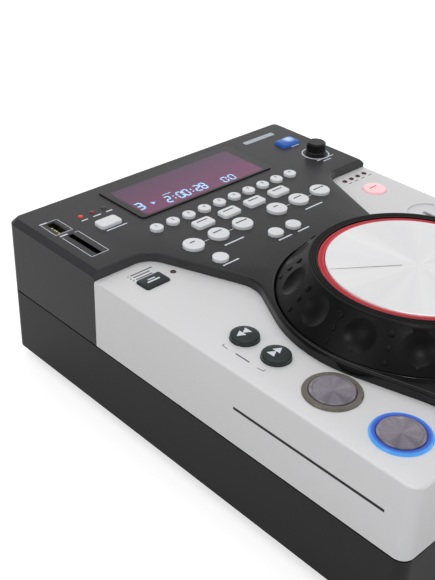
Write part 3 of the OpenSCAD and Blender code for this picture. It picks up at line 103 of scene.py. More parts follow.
# %% Colour and node helpers
def linear(shade, gain=1.0):
    """The linear RGBA of an sRGB hex colour, made lighter or darker by gain."""
    parts = [int(shade[i:i + 2], 16) / 255 for i in (1, 3, 5)]
    curve = [p / 12.92 if p <= 0.04045 else ((p + 0.055) / 1.055) ** 2.4 for p in parts]
    return (*[min(c * gain, 1.0) for c in curve], 1.0)


def add(tree, kind, inputs=None, **settings):
    """Adds a node. An input is a value or another node's output socket."""
    node = tree.nodes.new(kind)
    for key, value in settings.items():
        setattr(node, key, value)
    for key, value in (inputs or {}).items():
        socket = node.inputs[key]
        if isinstance(value, bpy.types.NodeSocket):
            tree.links.new(value, socket)
        else:
            socket.default_value = value
    return node


def new_material(name, **sockets):
    """A material with the Principled shader, its uniform sockets set, and its Object coordinates."""
    material = bpy.data.materials.new(name)
    material.use_nodes = True
    tree = material.node_tree
    shader = tree.nodes["Principled BSDF"]
    for key, value in sockets.items():
        shader.inputs[key.replace("_", " ")].default_value = value
    place = add(tree, "ShaderNodeTexCoord").outputs["Object"]
    return material, tree, shader, place


def blend(tree, factor, first, second):
    """Mixes two colours, which are RGBA values or sockets."""
    return add(tree, "ShaderNodeMix", {0: factor, 6: first, 7: second}, data_type="RGBA").outputs[2]


def sums(tree, operation, *values):
    """One step of arithmetic."""
    return add(tree, "ShaderNodeMath", dict(enumerate(values)), operation=operation).outputs[0]


def apart(tree, value, spot):
    """How far a value lies from a spot, as a positive number."""
    return sums(tree, "ABSOLUTE", sums(tree, "SUBTRACT", value, spot))


def vector(tree, operation, *values):
    """One step of vector arithmetic."""
    return add(tree, "ShaderNodeVectorMath", dict(enumerate(values)), operation=operation).outputs[0]


def noise(tree, place, size, detail=2.0):
    """Cloudy noise whose patches are about size mm across."""
    inputs = {"Vector": place, "Scale": 1 / (size * MM), "Detail": detail}
    return add(tree, "ShaderNodeTexNoise", inputs).outputs[0]


def span(tree, value, low, high, to_low=0.0, to_high=1.0):
    """Maps a value from one range to another, clamped."""
    ends = {"Value": value, "From Min": low, "From Max": high, "To Min": to_low, "To Max": to_high}
    return add(tree, "ShaderNodeMapRange", ends).outputs[0]


def dress(material, *nodes):
    """Gives CAD nodes a material."""
    for name in nodes:
        for place in frame["nodes"][name].material_slots:
            place.material = material
    print(material.name, "on", len(nodes), "nodes")


# %% [markdown]
# ## Moulded plastics
# The case is ABS, injection moulded in tools whose faces were spark eroded, which leaves a fine even
# grain. That grain scatters a reflection into a soft sheen. The real grain is about 0.1 mm, too fine to
# show, so it is drawn a little coarser. A slow cloud of a few centimetres keeps large faces from looking
# computed.


# %% A function for moulded plastic
def moulded(name, shade, rough, grain=0.3, depth=0.012, cloud=0.04, **sockets):
    """Moulded plastic of a grain size and depth in mm, its shade varied a little over 60 mm."""
    material, tree, shader, place = new_material(name, **sockets)
    fine = noise(tree, place, grain)
    slow = noise(tree, place, 60, 3.0)
    shades = blend(tree, slow, linear(shade, 1 - cloud), linear(shade, 1 + cloud))
    tree.links.new(shades, shader.inputs["Base Color"])
    gloss = sums(tree, "MULTIPLY_ADD", slow, 0.1, rough - 0.05)
    tree.links.new(sums(tree, "MULTIPLY_ADD", fine, 0.08, sums(tree, "SUBTRACT", gloss, 0.04)),
                   shader.inputs["Roughness"])
    bump = add(tree, "ShaderNodeBump", {"Height": fine, "Distance": depth * MM, "Strength": 0.6}).outputs[0]
    tree.links.new(bump, shader.inputs["Normal"])
    return material


# %% [markdown]
# ## The black mouldings
# Two black mouldings meet at a groove: the base, and above it the deck, whose pigment is a little greyer.
# The deck is made glossier towards the front, round the wheel, and there its colour is darkened as painted
# shade. A mask by place does this, and another paints shade on the walls of the card slot.

# %% Finishes of the case
GLOSS_AND_SHADE = (70, -50)  # y where the gloss and the painted shade begin and where they are full, in mm
CARD = (-97.3, 93.4)  # middle of the card slot
CARD_HALF = (3.2, 13.5)  # half its size with its walls


def deck_moulding():
    """Black ABS, glossier and with painted shade to the front, and painted shade on the card slot's walls."""
    material = moulded("moulded_abs_black", "#363638", 0.34, IOR=1.53, Specular_IOR_Level=0.35)
    tree = material.node_tree
    shader = tree.nodes["Principled BSDF"]
    split = add(tree, "ShaderNodeSeparateXYZ", {0: add(tree, "ShaderNodeTexCoord").outputs["Object"]}).outputs
    gloss_and_shade = span(tree, split["Y"], GLOSS_AND_SHADE[0] * MM, GLOSS_AND_SHADE[1] * MM)
    # painted shade: the colour darkens towards the front, while the roughness drops for real gloss
    shades = blend(tree, gloss_and_shade, shader.inputs["Base Color"].links[0].from_socket, linear("#080809"))
    near = [sums(tree, "LESS_THAN", apart(tree, split[axis], spot * MM), half * MM)
            for axis, spot, half in zip("XY", CARD, CARD_HALF)]
    # painted shade on the walls of the card slot, below the deck's face
    slot_shade = sums(tree, "MULTIPLY", sums(tree, "MULTIPLY", *near),
                sums(tree, "LESS_THAN", split["Z"], DECK - 0.3 * MM))
    tree.links.new(blend(tree, slot_shade, shades, linear("#020202")), shader.inputs["Base Color"])
    rough = shader.inputs["Roughness"].links[0].from_socket
    tree.links.new(sums(tree, "MULTIPLY_ADD", gloss_and_shade, -0.14, rough), shader.inputs["Roughness"])
    dress(material, "top_housing")


deck_moulding()

base_plastic = moulded("moulded_abs_base", "#0f0f0e", 0.34, IOR=1.53, Specular_IOR_Level=0.42)
dress(base_plastic, "base_housing")


# %% [markdown]
# ## Silver cheeks
# The cheeks are ABS sprayed with silver lacquer. Lacquer holds aluminium flakes, so the shader is partly
# metallic, each flake has its own shade and roughness, and a clear coat lies over them.


# %% Silver lacquer
def silver_lacquer():
    """Silver lacquer sprayed on ABS, with flakes of about 0.25 mm under a clear coat."""
    material, tree, shader, place = new_material(
        "silver_lacquer", Metallic=0.35, Coat_Weight=0.05, Coat_Roughness=0.3, IOR=1.5)
    flakes = add(tree, "ShaderNodeTexVoronoi", {"Vector": place, "Scale": 1 / (0.25 * MM)}).outputs["Color"]
    slow = noise(tree, place, 90)
    shades = blend(tree, slow, linear("#dededf"), linear("#e4e4e6"))
    tree.links.new(blend(tree, span(tree, flakes, 0, 1, 0.0, 0.06), shades, linear("#ffffff")),
                   shader.inputs["Base Color"])
    tree.links.new(span(tree, flakes, 0, 1, 0.42, 0.5), shader.inputs["Roughness"])
    return material


lacquer = silver_lacquer()
dress(lacquer, "side_panel_left", "side_panel_right")

# %% [markdown]
# ## Keys
# The white and the dark grey keys are moulded in pigmented ABS. They are made like the case, but in tools
# with a shallower grain, since fingers slide over them.

# %% Finishes of the keys
WHITE_KEYS = [n for n in frame["nodes"] if n.startswith(("num_key", "bar_key", "loop_"))]
WHITE_KEYS += ["tap_key", "reverse_key", "brake_key", "source_key"]
white_keys = moulded("moulded_white_keys", "#d6d7da", 0.34, 0.4, 0.006, 0.03, IOR=1.53)
dress(white_keys, *WHITE_KEYS)

grey_keys = moulded("moulded_grey_keys", "#1b2524", 0.3, 0.35, 0.008, 0.05, IOR=1.53)
dress(grey_keys, "jog_mode_key", "search_back_key", "search_forward_key", "bend_down_key", "bend_up_key")


# %% [markdown]
# ## Lamps behind keys and rings
# A lit key glows strongest over its lamp and fades towards its edge. Distance from the lamp, measured in
# the Object coordinates, makes that falloff. One helper gives the distance in the plane of the deck, in
# millimetres.


# %% Distance from a lamp
def distance(tree, place, x, y):
    """Distance in mm from the upright line through x, y, which are metres."""
    flat = vector(tree, "MULTIPLY", place, (1, 1, 0))
    gap = add(tree, "ShaderNodeVectorMath", {0: flat, 1: (x, y, 0)}, operation="DISTANCE").outputs["Value"]
    return sums(tree, "MULTIPLY", gap, 1 / MM)


def lit_key(name, node, body_shade, core_shade, rim_shade, offset, core, reach, power):
    """Moulded key lit from below: core and reach are the radii in mm of the lamp's spot and of its glow."""
    material, tree, shader, place = new_material(name, Roughness=0.28, IOR=1.53, Emission_Strength=power)
    lamp = middle(node) + Vector((offset[0] * MM, offset[1] * MM, 0))
    away = distance(tree, place, lamp.x, lamp.y)
    glow = blend(tree, span(tree, away, core, reach), linear(core_shade), linear(rim_shade))
    tree.links.new(glow, shader.inputs["Emission Color"])
    grain = noise(tree, place, 0.4)
    tree.links.new(blend(tree, grain, linear(body_shade, 0.94), linear(body_shade, 1.04)),
                   shader.inputs["Base Color"])
    dress(material, node)
    return material


# %% Lit keys
lit_key("lit_blue_key", "eject_key", "#1b4890", "#c8e8ff", "#1a4488", (2.4, 1.5), 1.2, 5.0, 0.7)
lit_key("lit_pink_key", "pitch_key", "#ecb8bc", "#b89094", "#b0484e", (0, 0), 6.5, 9.0, 0.6)


# %% [markdown]
# ## Light pipes
# One node holds all the small lenses and the rings round the two big buttons, moulded in clear acrylic. So
# the colour is chosen by place: blue where the play lamp shines, red at the lamps that are on, and dark
# smoky plastic where the lamp is off.


# %% Light pipes
PLAY_STEPS = ((11.2, 12.6), (12.8, 13.8))  # radii in mm between which the play ring's glow turns paler
PLAY_REACH = 18.0  # radius that takes in the whole play ring
LENS_REACH = 1.85  # radius of a small lens with a margin


def light_guide():
    """Clear acrylic light guide, coloured by the lamp below each of its parts."""
    material, tree, shader, place = new_material(
        "acrylic_light_guide", Roughness=0.16, IOR=1.49, Coat_Weight=0.4, Emission_Strength=1.0)
    smoke = noise(tree, place, 6)
    body = blend(tree, smoke, linear("#5c574f"), linear("#6e6860"))
    glow = linear("#000000")
    play = middle("play_button")
    ring = distance(tree, place, play.x, play.y)
    blue = blend(tree, span(tree, ring, *PLAY_STEPS[0]), linear("#101c78"), linear("#3450a0"))
    blue = blend(tree, span(tree, ring, *PLAY_STEPS[1]), blue, linear("#4694d2"))
    near_play = sums(tree, "LESS_THAN", ring, PLAY_REACH)
    body = blend(tree, near_play, body, linear("#1c3c80"))
    glow = blend(tree, near_play, glow, blue)
    for x, y, off_shade, on_shade in LAMPS:
        away = distance(tree, place, x * MM, y * MM)
        here = sums(tree, "LESS_THAN", away, LENS_REACH)
        hot = blend(tree, span(tree, away, 0.2, 1.6), linear(on_shade), linear(on_shade, 0.55))
        body = blend(tree, here, body, linear(off_shade))
        glow = blend(tree, here, glow, hot)
    tree.links.new(body, shader.inputs["Base Color"])
    tree.links.new(glow, shader.inputs["Emission Color"])
    return material


# x, y in mm, colour unlit, colour of its light
LAMPS = [(-80.1, 120.2, "#8c1c20", "#c83036"), (-71.6, 120.2, "#5c1a1e", "#541418"),
         (-63.1, 120.2, "#30181e", "#100305"), (-73.6, 45.7, "#33201e", "#0c0202")]
LAMPS += [(x, 58.0, "#3c1418", "#240608") for x in (84.9, 91.3, 97.7, 104.1)]
dress(light_guide(), "light_pipes")

# %% [markdown]
# ## Rubber
# The wheel's rim and the feet are black elastomers, moulded against a matt tool whose grain is deeper than
# the case's. The knob, the fader's cap and the power rocker have a soft-touch coat. All reflect softly,
# with a broad highlight, so they share the case's function and differ in shade, roughness and grain.

# %% Rubber finishes
rim_rubber = moulded("moulded_rubber_rim", "#0a0a0b", 0.38, 0.35, 0.02, 0.08,
                     IOR=1.52, Specular_IOR_Level=0.24)
dress(rim_rubber, "jog_rim")

foot_rubber = moulded("moulded_rubber_feet", "#161616", 0.7, 0.5, 0.02, 0.1, IOR=1.52)
dress(foot_rubber, "feet", "feed_roller")

knob_rubber = moulded("soft_touch_knob", "#141415", 0.38, 0.3, 0.01, 0.06, IOR=1.5)
dress(knob_rubber, "track_knob", "fader_cap", "power_rocker")


# %% [markdown]
# ## Red ring
# The ring between the platter and the rim is clear red acrylic, turned and polished. It is smooth and
# deep in colour, and its edges are painted paler as a highlight.


# %% Red acrylic
RING = (47.7, 51.2)  # inner and outer radius of the red ring, in mm


def red_acrylic():
    """Clear red acrylic, turned to a ring and polished, with a painted highlight at its inner and outer edge.
    """
    material, tree, shader, place = new_material("polished_red_acrylic", Roughness=0.1, IOR=1.49)
    away = distance(tree, place, JOG.x, JOG.y)
    across = span(tree, away, *RING)
    painted_edge_highlight = sums(tree, "ABSOLUTE", sums(tree, "MULTIPLY_ADD", across, 2.0, -1.0))
    deep = blend(tree, noise(tree, place, 30), linear("#a01a26"), linear("#b02430"))
    # painted highlight: the red turns paler towards both edges
    shades = blend(tree, sums(tree, "POWER", painted_edge_highlight, 2.0), deep, linear("#ec525a"))
    tree.links.new(shades, shader.inputs["Base Color"])
    return material


dress(red_acrylic(), "jog_accent_ring")


# %% [markdown]
# ## Spun metal
# The platter and the two big caps are aluminium faced on a lathe. The tool leaves fine rings, and rings
# stretch each reflection into a fan that runs out from the centre. An anisotropic shader does this when
# its tangent follows the rings, so the tangent is built from the place: the upright axis crossed with the
# direction from the centre. Light and dark fans are also painted into the colour, as painted reflection.


# %% Spun metal
def spun_metal(name, centre, light, dark, rough, painted_fan_scale, ring_mm, bump=0.5, **sockets):
    """Metal faced on a lathe about centre, with light and dark fans painted into its colour as reflection. A
    clear matt lacquer on it makes it less than fully metallic.
    """
    material, tree, shader, place = new_material(name, Anisotropic=0.75, **sockets)
    arm = vector(tree, "SUBTRACT", place, (centre.x, centre.y, 0))
    turn = vector(tree, "CROSS_PRODUCT", (0, 0, 1), arm)
    way = add(tree, "ShaderNodeVectorTransform", {0: turn}, vector_type="VECTOR",
              convert_from="OBJECT", convert_to="WORLD").outputs[0]
    tree.links.new(vector(tree, "NORMALIZE", way), shader.inputs["Tangent"])
    flat = vector(tree, "MULTIPLY", arm, (1, 1, 0))
    inputs = {"Vector": vector(tree, "NORMALIZE", flat), "Scale": painted_fan_scale, "Detail": 3.0}
    painted_fan_streak = add(tree, "ShaderNodeTexNoise", inputs).outputs[0]
    radius = add(tree, "ShaderNodeVectorMath", {0: flat}, operation="LENGTH").outputs["Value"]
    rings = add(tree, "ShaderNodeTexNoise", {"W": sums(tree, "MULTIPLY", radius, 1 / (ring_mm * MM))},
                noise_dimensions="1D").outputs[0]
    # painted reflection: the colour runs between dark and light in fans round the centre
    painted_fan_tone = span(tree, painted_fan_streak, 0.35, 0.65)
    tree.links.new(blend(tree, painted_fan_tone, linear(dark), linear(light)), shader.inputs["Base Color"])
    tree.links.new(span(tree, rings, 0, 1, rough - 0.04, rough + 0.04), shader.inputs["Roughness"])
    bump = add(tree, "ShaderNodeBump", {"Height": rings, "Distance": 0.01 * MM, "Strength": bump}).outputs[0]
    tree.links.new(bump, shader.inputs["Normal"])
    return material


dress(spun_metal("spun_aluminium", JOG, "#fafafa", "#f0f0f2", 0.4, 1.8, 0.5, Metallic=0.4), "jog_platter")
for cap in ("cue_button", "play_button"):
    dress(spun_metal("spun_cap_" + cap, middle(cap), "#bab2be", "#8c8692", 0.26, 1.3, 1.0,
                     bump=0.1, Metallic=0.75), cap)

# %% [markdown]
# ## Parts inside
# The wheel's hub, the bearing, the boards and the disc drive are hidden or show only through a slot. Each
# still has the finish of its real material: glass-filled plastic, turned brass, pressed zinc-plated
# steel, green solder mask.


# %% Metals inside
def plated(name, shade, rough, grain):
    """Bare or plated metal, lightly scratched by handling."""
    material, tree, shader, place = new_material(name, Metallic=1.0)
    scratches = noise(tree, place, grain, 4.0)
    shades = blend(tree, scratches, linear(shade, 0.85), linear(shade, 1.1))
    tree.links.new(shades, shader.inputs["Base Color"])
    tree.links.new(span(tree, scratches, 0.3, 0.7, rough - 0.08, rough + 0.1), shader.inputs["Roughness"])
    return material


dress(plated("turned_brass", "#c8a65c", 0.25, 1.0), "jog_bearing")
dress(plated("zinc_plated_steel", "#a9abb0", 0.35, 2.0),
      "screws", "drive_chassis", "clamp_arm", "encoder_plunger")
inner_plastic = moulded("glass_filled_plastic", "#2a2a2d", 0.55, 0.6, 0.02)
dress(inner_plastic, "jog_hub", "spindle_hub", "pickup_sled")


# %% Circuit boards
def solder_mask():
    """Glass-epoxy board under green solder mask, with the copper showing through as paler tracks."""
    material, tree, shader, place = new_material("solder_masked_board", Roughness=0.35, IOR=1.5)
    tracks = add(tree, "ShaderNodeTexVoronoi", {"Vector": place, "Scale": 1 / (4 * MM), "Randomness": 0.4},
                 feature="DISTANCE_TO_EDGE", distance="EUCLIDEAN").outputs[0]
    tree.links.new(blend(tree, span(tree, tracks, 0.03, 0.06), linear("#4f8a58"), linear("#1f4a2e")),
                   shader.inputs["Base Color"])
    return material


dress(solder_mask(), "key_boards", "circuit_boards")


# %% [markdown]
# ## Sockets
# The media sockets node holds a plated USB shell with a black tongue and a black card socket. The rear
# node holds black plastic housings with gilt phono sleeves. A mask by place picks the metal parts.


# %% Media and rear sockets
USB_Y = 118.5  # middle of the USB opening, in mm
USB_HALF = 9  # half the length of its shell with a margin
TONGUE = (-100.25, -98.45)  # the contact tongue's two faces along x
TONGUE_HALF = (1.0, 5.7)  # half its thickness and half its length with a margin


def media_socket_finish():
    """Nickel on the USB shell, black plastic on its tongue and on the card socket."""
    material, tree, shader, place = new_material("plated_usb_shell_and_card_socket", IOR=1.5)
    split = add(tree, "ShaderNodeSeparateXYZ", {0: place})
    shell = sums(tree, "GREATER_THAN", split.outputs["Y"], (USB_Y - USB_HALF) * MM)
    across = apart(tree, split.outputs["X"], sum(TONGUE) / 2 * MM)
    along = apart(tree, split.outputs["Y"], USB_Y * MM)
    tongue = sums(tree, "MULTIPLY", sums(tree, "LESS_THAN", across, TONGUE_HALF[0] * MM),
                  sums(tree, "LESS_THAN", along, TONGUE_HALF[1] * MM))
    shell = sums(tree, "SUBTRACT", shell, tongue)
    scratches = noise(tree, place, 1)
    nickel = blend(tree, scratches, linear("#6e6b5e"), linear("#8e8a7c"))
    tree.links.new(blend(tree, shell, linear("#0c0c0d"), nickel), shader.inputs["Base Color"])
    tree.links.new(shell, shader.inputs["Metallic"])
    tree.links.new(span(tree, scratches, 0.3, 0.7, 0.25, 0.4), shader.inputs["Roughness"])
    return material


SLEEVES_X = (24, 42, 60, 80)  # three phono sleeves and the start jack, in mm
SLEEVE_HALF = 5.0  # half the width that the mask takes in
BAY_Y = 138.5  # face of the socket panel
COLLAR = 1.7  # thickness of the black collars on it, with a margin


def rear_socket_finish():
    """Black plastic housings, gilt where they stand out beyond their collars."""
    material, tree, shader, place = new_material("socket_plastic_and_sleeves", IOR=1.5)
    split = add(tree, "ShaderNodeSeparateXYZ", {0: place})
    grain = noise(tree, place, 0.5)
    colour = blend(tree, grain, linear("#1a1a1c"), linear("#232325"))
    metal = 0.0
    outside = sums(tree, "GREATER_THAN", split.outputs["Y"], (BAY_Y + COLLAR) * MM)
    for x in SLEEVES_X:
        near = sums(tree, "LESS_THAN", apart(tree, split.outputs["X"], x * MM), SLEEVE_HALF * MM)
        here = sums(tree, "MULTIPLY", near, outside)
        colour = blend(tree, here, colour, linear("#d8b566"))
        metal = sums(tree, "MAXIMUM", metal, here)
    tree.links.new(colour, shader.inputs["Base Color"])
    tree.links.new(metal, shader.inputs["Metallic"])
    tree.links.new(span(tree, grain, 0, 1, 0.28, 0.4), shader.inputs["Roughness"])
    return material


dress(media_socket_finish(), "media_sockets")
dress(rear_socket_finish(), "rear_sockets")


# %% [markdown]
# ## Display window
# The window is a plate of tinted acrylic, printed black from behind along its border, so that only the
# middle lets light through. The shader is glass-like in the middle and opaque under the border and on its
# sides, which are painted near-black as shade. The tint is painted lighter to the front, as a glow of the
# lit digits. The glass of the display below is dark.


# %% Window and display glass
CLEAR = (("X", -49, 47), ("Y", 96.6, 131))  # the clear middle of the window, in mm
SOFT = 1.5  # half the width of the border's soft edge


def tinted_window():
    """Tinted acrylic with a black print behind its border, painted shade on its sides and a painted glow to
    the front.
    """
    material, tree, shader, place = new_material("tinted_acrylic_window", Roughness=0.06, IOR=1.49)
    split = add(tree, "ShaderNodeSeparateXYZ", {0: place})
    inside = 1.0
    for axis, low, high in CLEAR:
        value = sums(tree, "MULTIPLY", split.outputs[axis], 1 / MM)
        inside = sums(tree, "MULTIPLY", inside, span(tree, value, low - SOFT, low + SOFT))
        inside = sums(tree, "MULTIPLY", inside, span(tree, value, high + SOFT, high - SOFT))
    # below the face, the plate's sides are painted near-black as shade
    face = sums(tree, "GREATER_THAN", split.outputs["Z"], top("display_window") - 0.3 * MM)
    # painted glow: the tint is lighter to the front, as if lit by the digits
    along = span(tree, split.outputs["Y"], 97 * MM, 131 * MM)
    tint_and_painted_glow = blend(tree, along, linear("#a8648f"), linear("#7e5e7c"))
    border_print_and_side_shade = blend(tree, face, linear("#020202"), linear("#343435"))
    tree.links.new(blend(tree, inside, border_print_and_side_shade, tint_and_painted_glow), shader.inputs["Base Color"])
    tree.links.new(sums(tree, "MULTIPLY", inside, 0.5), shader.inputs["Transmission Weight"])
    return material


dress(tinted_window(), "display_window")
tinted_glass = moulded("tinted_display_glass", "#2c1c2e", 0.12, 2.0, 0.0, 0.2, IOR=1.5)
dress(tinted_glass, "display_module")


# %% [markdown]
# ## Prints and digits as thin solids
# A silk-screened line is a film of ink a few hundredths of a millimetre thick. It is modelled as one: a
# plane at the mark's size and place, its corners bevelled where they are round, extruded upwards by the
# film's thickness. All the bars of one print are joined, so a print is one piece, and it rides on
# whatever it is printed on.


# %% Printing bars on a level face
INK = 0.05 * MM  # thickness of a print
BITE = 0.02 * MM  # how deep it reaches into the face below


def settle(name, body, finish):
    """Names the active object, applies its place to its mesh, dresses it and lets it ride on a body."""
    piece = bpy.context.object
    bpy.ops.object.transform_apply(location=True, rotation=True, scale=True)
    piece.name = name
    piece.data.name = name
    piece.data.materials.clear()
    piece.data.materials.append(finish)
    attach(piece, body)
    bpy.ops.object.select_all(action="DESELECT")
    return piece


def join(parts):
    """Joins objects into the first one, which becomes active."""
    bpy.ops.object.select_all(action="DESELECT")
    for part in parts:
        part.select_set(True)
    bpy.context.view_layer.objects.active = parts[0]
    if len(parts) > 1:
        bpy.ops.object.join()


def thicken(height, corner=0.0, way=(0, 0, 1)):
    """Rounds the corners of the active object's flat faces and extrudes them along way."""
    bpy.ops.object.mode_set(mode="EDIT")
    bpy.ops.mesh.select_all(action="SELECT")
    if corner:
        bpy.ops.mesh.bevel(offset=corner, segments=3, affect="VERTICES")
        bpy.ops.mesh.select_all(action="SELECT")
    bpy.ops.mesh.extrude_region_move(TRANSFORM_OT_translate={"value": [height * part for part in way]})
    bpy.ops.mesh.select_all(action="SELECT")
    bpy.ops.mesh.normals_make_consistent(inside=False)
    bpy.ops.object.mode_set(mode="OBJECT")


def print_bars(name, bars, level, body, finish, corner=0.0, film=INK):
    """Prints bars on a level face. Each bar is x, y, length, width in mm and its turn in degrees."""
    parts = []
    for x, y, length, width, turn in bars:
        bpy.ops.mesh.primitive_plane_add(size=1, location=(x * MM, y * MM, level - BITE),
                                         rotation=(0, 0, math.radians(turn)))
        parts.append(bpy.context.object)
        parts[-1].scale = (length * MM, width * MM, 1)
    join(parts)
    bpy.ops.object.transform_apply(location=False, rotation=True, scale=True)
    thicken(film + BITE, corner * MM)
    return settle(name, body, finish)


def line(x0, y0, x1, y1, width):
    """The bar that draws a line between two points."""
    turn = math.degrees(math.atan2(y1 - y0, x1 - x0))
    return ((x0 + x1) / 2, (y0 + y1) / 2, math.hypot(x1 - x0, y1 - y0) + width, width, turn)


def trace(points, width):
    """The bars that join a row of points."""
    return [line(*start, *end, width) for start, end in zip(points, points[1:])]


def dash(x0, x1, y, width=1.0):
    return line(x0, y, x1, y, width)


# %% Inks
def ink(name, shade, rough=0.5):
    """Silk-screen ink: flat, a little uneven where the mesh of the screen left its weave."""
    material, tree, shader, place = new_material(name, IOR=1.5)
    weave = noise(tree, place, 0.2)
    tree.links.new(blend(tree, weave, linear(shade, 0.9), linear(shade, 1.05)), shader.inputs["Base Color"])
    tree.links.new(span(tree, weave, 0, 1, rough - 0.06, rough + 0.06), shader.inputs["Roughness"])
    return material


white_ink = ink("screen_ink_white", "#d0d4dc")
grey_ink = ink("screen_ink_grey", "#4a4a4d")
black_ink = ink("screen_ink_black", "#141312", 0.4)
pale_label = ink("pale_label_film", "#a9afba", 0.3)

# %% [markdown]
# ## Prints on the deck
# Thin white frames mark the two media openings, short dashes stand for the words beside the lights and
# keys, and fine links join the loop keys of a group. A blank pale film is stuck on at the back right.

# %% Deck prints
FINE = 0.36  # width of the frames' lines, in mm
THIN = 0.35  # width of the finest lines
usb_frame = [(-104, 125.4), (-104, 111), (-92.4, 111), (-92.4, 126.6), (-98, 126.6)]
card_frame = [(-103, 106.4), (-103, 79.3), (-91.3, 79.3), (-91.3, 107.5), (-93.6, 107.5)]
words = [dash(-103.8, -99.6, 126.8, 1.1), dash(-102.6, -98.4, 108.4, 1.1)]
frames = trace(usb_frame, FINE) + trace(card_frame, FINE) + words
print_bars("socket_frames", frames, DECK, "case", white_ink)

lights = [dash(x0, x1, 115.5) for x0, x1 in ((-82.2, -78.8), (-73.8, -69.3), (-64.3, -60.8))]
keys = [dash(-78.4, -64.6, 96.9, 0.9), dash(89.1, 95.6, 109.3, 0.9), dash(-54.6, -43.6, 26.0),
        dash(-11.2, -1.4, 25.7), dash(4.8, 13.2, 25.7), dash(-38.6, -24.6, 41.4), dash(28.6, 42.6, 41.4)]
knob = [dash(85.6, 100.8, 83.0, 0.8), dash(88.8, 95.2, 80.2, 0.8)]
print_bars("deck_dashes", lights + keys + knob, DECK, "case", white_ink)

links = [dash(s * x0, s * x1, 52.2, 0.4) for s in (-1, 1) for x0, x1 in ((22, 26), (41.2, 45.2))]
print_bars("loop_links", links, DECK, "case", white_ink)
print_bars("blank_label", [dash(69.2, 93.2, 133.1, 4.2)], DECK, "case", pale_label, 1.2)


# %% [markdown]
# ## The knob's scale
# A fine ring with two ticks at the front is printed round the knob. The ring starts as a circle, whose
# edge is extruded and drawn in to leave a band of the line's width.


# %% Knob scale
TICK = (0.8, 1.2)  # how far a tick's middle lies outside the ring, and its length, in mm


def printed_ring(name, x, y, radius, width, level, ticks):
    """A ring with ticks: x, y and level in metres, radius and width in mm, ticks in degrees."""
    bpy.ops.mesh.primitive_circle_add(vertices=72, radius=(radius + width / 2) * MM,
                                      location=(x, y, level - BITE), fill_type="NOTHING")
    ring = bpy.context.object
    bpy.ops.object.mode_set(mode="EDIT")
    bpy.ops.mesh.select_all(action="SELECT")
    bpy.ops.mesh.extrude_edges_move()
    shrink = (radius - width / 2) / (radius + width / 2)
    bpy.ops.transform.resize(value=(shrink, shrink, 1), center_override=(x, y, level - BITE))
    bpy.ops.object.mode_set(mode="OBJECT")
    parts = [ring]
    for turn in ticks:
        angle = math.radians(turn)
        reach = (radius + TICK[0]) * MM
        spot = (x + reach * math.cos(angle), y + reach * math.sin(angle), level - BITE)
        bpy.ops.mesh.primitive_plane_add(size=1, location=spot, rotation=(0, 0, angle))
        parts.append(bpy.context.object)
        parts[-1].scale = (TICK[1] * MM, width * MM, 1)
    join(parts)
    thicken(INK + BITE)
    return settle(name, "case", white_ink)


KNOB = middle("track_knob")
printed_ring("knob_scale", KNOB.x, KNOB.y, 8.9, 0.9, DECK, (-120, -60))

# %% [markdown]
# ## Prints on the cheeks
# The silver cheeks carry small dark marks: three short lines behind the mode key, brackets beside the
# search keys, dashes at the level lights and the bend keys, and a scale along the fader. They are
# screened like the deck's prints.

# %% Cheek prints
marks = [dash(-93.8, -79.6, 57.2, 0.8), dash(-93.6, -83.2, 54.8, 0.8), dash(-93.6, -83.4, 52.3, 0.8)]
marks += [line(-95.9, y - 0.1, -95.8, y + 0.1, 0.7) for y in (57.2, 54.8, 52.3)]
marks += trace([(-101.2, -25.4), (-100.9, -21.6), (-99.6, -21.6)], THIN)
marks += [line(-100.9, -31.2, -100.9, -39.8, 0.7)]
marks += trace([(-101.2, -45.8), (-100.9, -49.4), (-99.6, -49.4)], THIN)
marks += [dash(x - 1.2, x + 1.2, 54.2, 0.6) for x in (85.9, 92.1, 98.5, 105.6)]
print_bars("cheek_marks", marks, CHEEK, "case", grey_ink)

FADER = middle("fader_cap")
scale = []
for side in (-1, 1):
    for step in range(-5, 6):
        x0 = FADER.x / MM + side * 15.6
        x1 = x0 + side * (3.0 if step == 0 else 1.8)
        scale.append(dash(min(x0, x1), max(x0, x1), FADER.y / MM + step * 6.0, THIN))
print_bars("fader_scale", scale, CHEEK, "case", grey_ink)
print_bars("bend_marks", [dash(88.6, 93.4, y, 0.6) for y in (-130, -106)], CHEEK, "case", grey_ink)

# %% [markdown]
# ## Side stripe
# A thin black stripe is printed along the left side. Its plane stands upright against the cheek's outer
# face and is extruded outwards, like a print that was laid on its side.

# %% Side stripe
LEFT_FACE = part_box("side_panel_left")[0].x


def side_stripe():
    y0, y1, z, width = -133.8, -42.2, 71.2, 1.6
    bpy.ops.mesh.primitive_plane_add(size=1, location=(LEFT_FACE + BITE, (y0 + y1) / 2 * MM, z * MM),
                                     rotation=(0, -math.pi / 2, 0))
    stripe = bpy.context.object
    stripe.scale = (width * MM, (y1 - y0) * MM, 1)
    bpy.ops.object.transform_apply(location=False, rotation=False, scale=True)
    thicken(INK + BITE, way=(-1, 0, 0))
    return settle("side_stripe", "case", black_ink)


side_stripe()


# %% [markdown]
# ## Numbers and marks on the keys
# The number keys carry plain numerals, made as text and turned to mesh. The bar and loop keys have a short
# grey bar, the mode key two white ones and the pitch key a red one. The two search keys have a pair of
# arrowheads, each a triangle made from a circle of three corners. A mark on a crowned key starts below
# the crown's top, so that its ends meet the key too.


# %% Marks on the keys
def numeral(node, text, size):
    """A printed numeral, centred on a key's top."""
    bpy.ops.object.text_add(location=(middle(node).x, middle(node).y + 0.5 * MM, top(node) - BITE))
    words = bpy.context.object
    words.data.body = text
    words.data.size = size * MM
    words.data.align_x = "CENTER"
    words.data.align_y = "CENTER"
    bpy.ops.object.convert(target="MESH")
    thicken(INK + BITE)
    return settle(node + "_mark", BODY_OF[node], grey_ink)


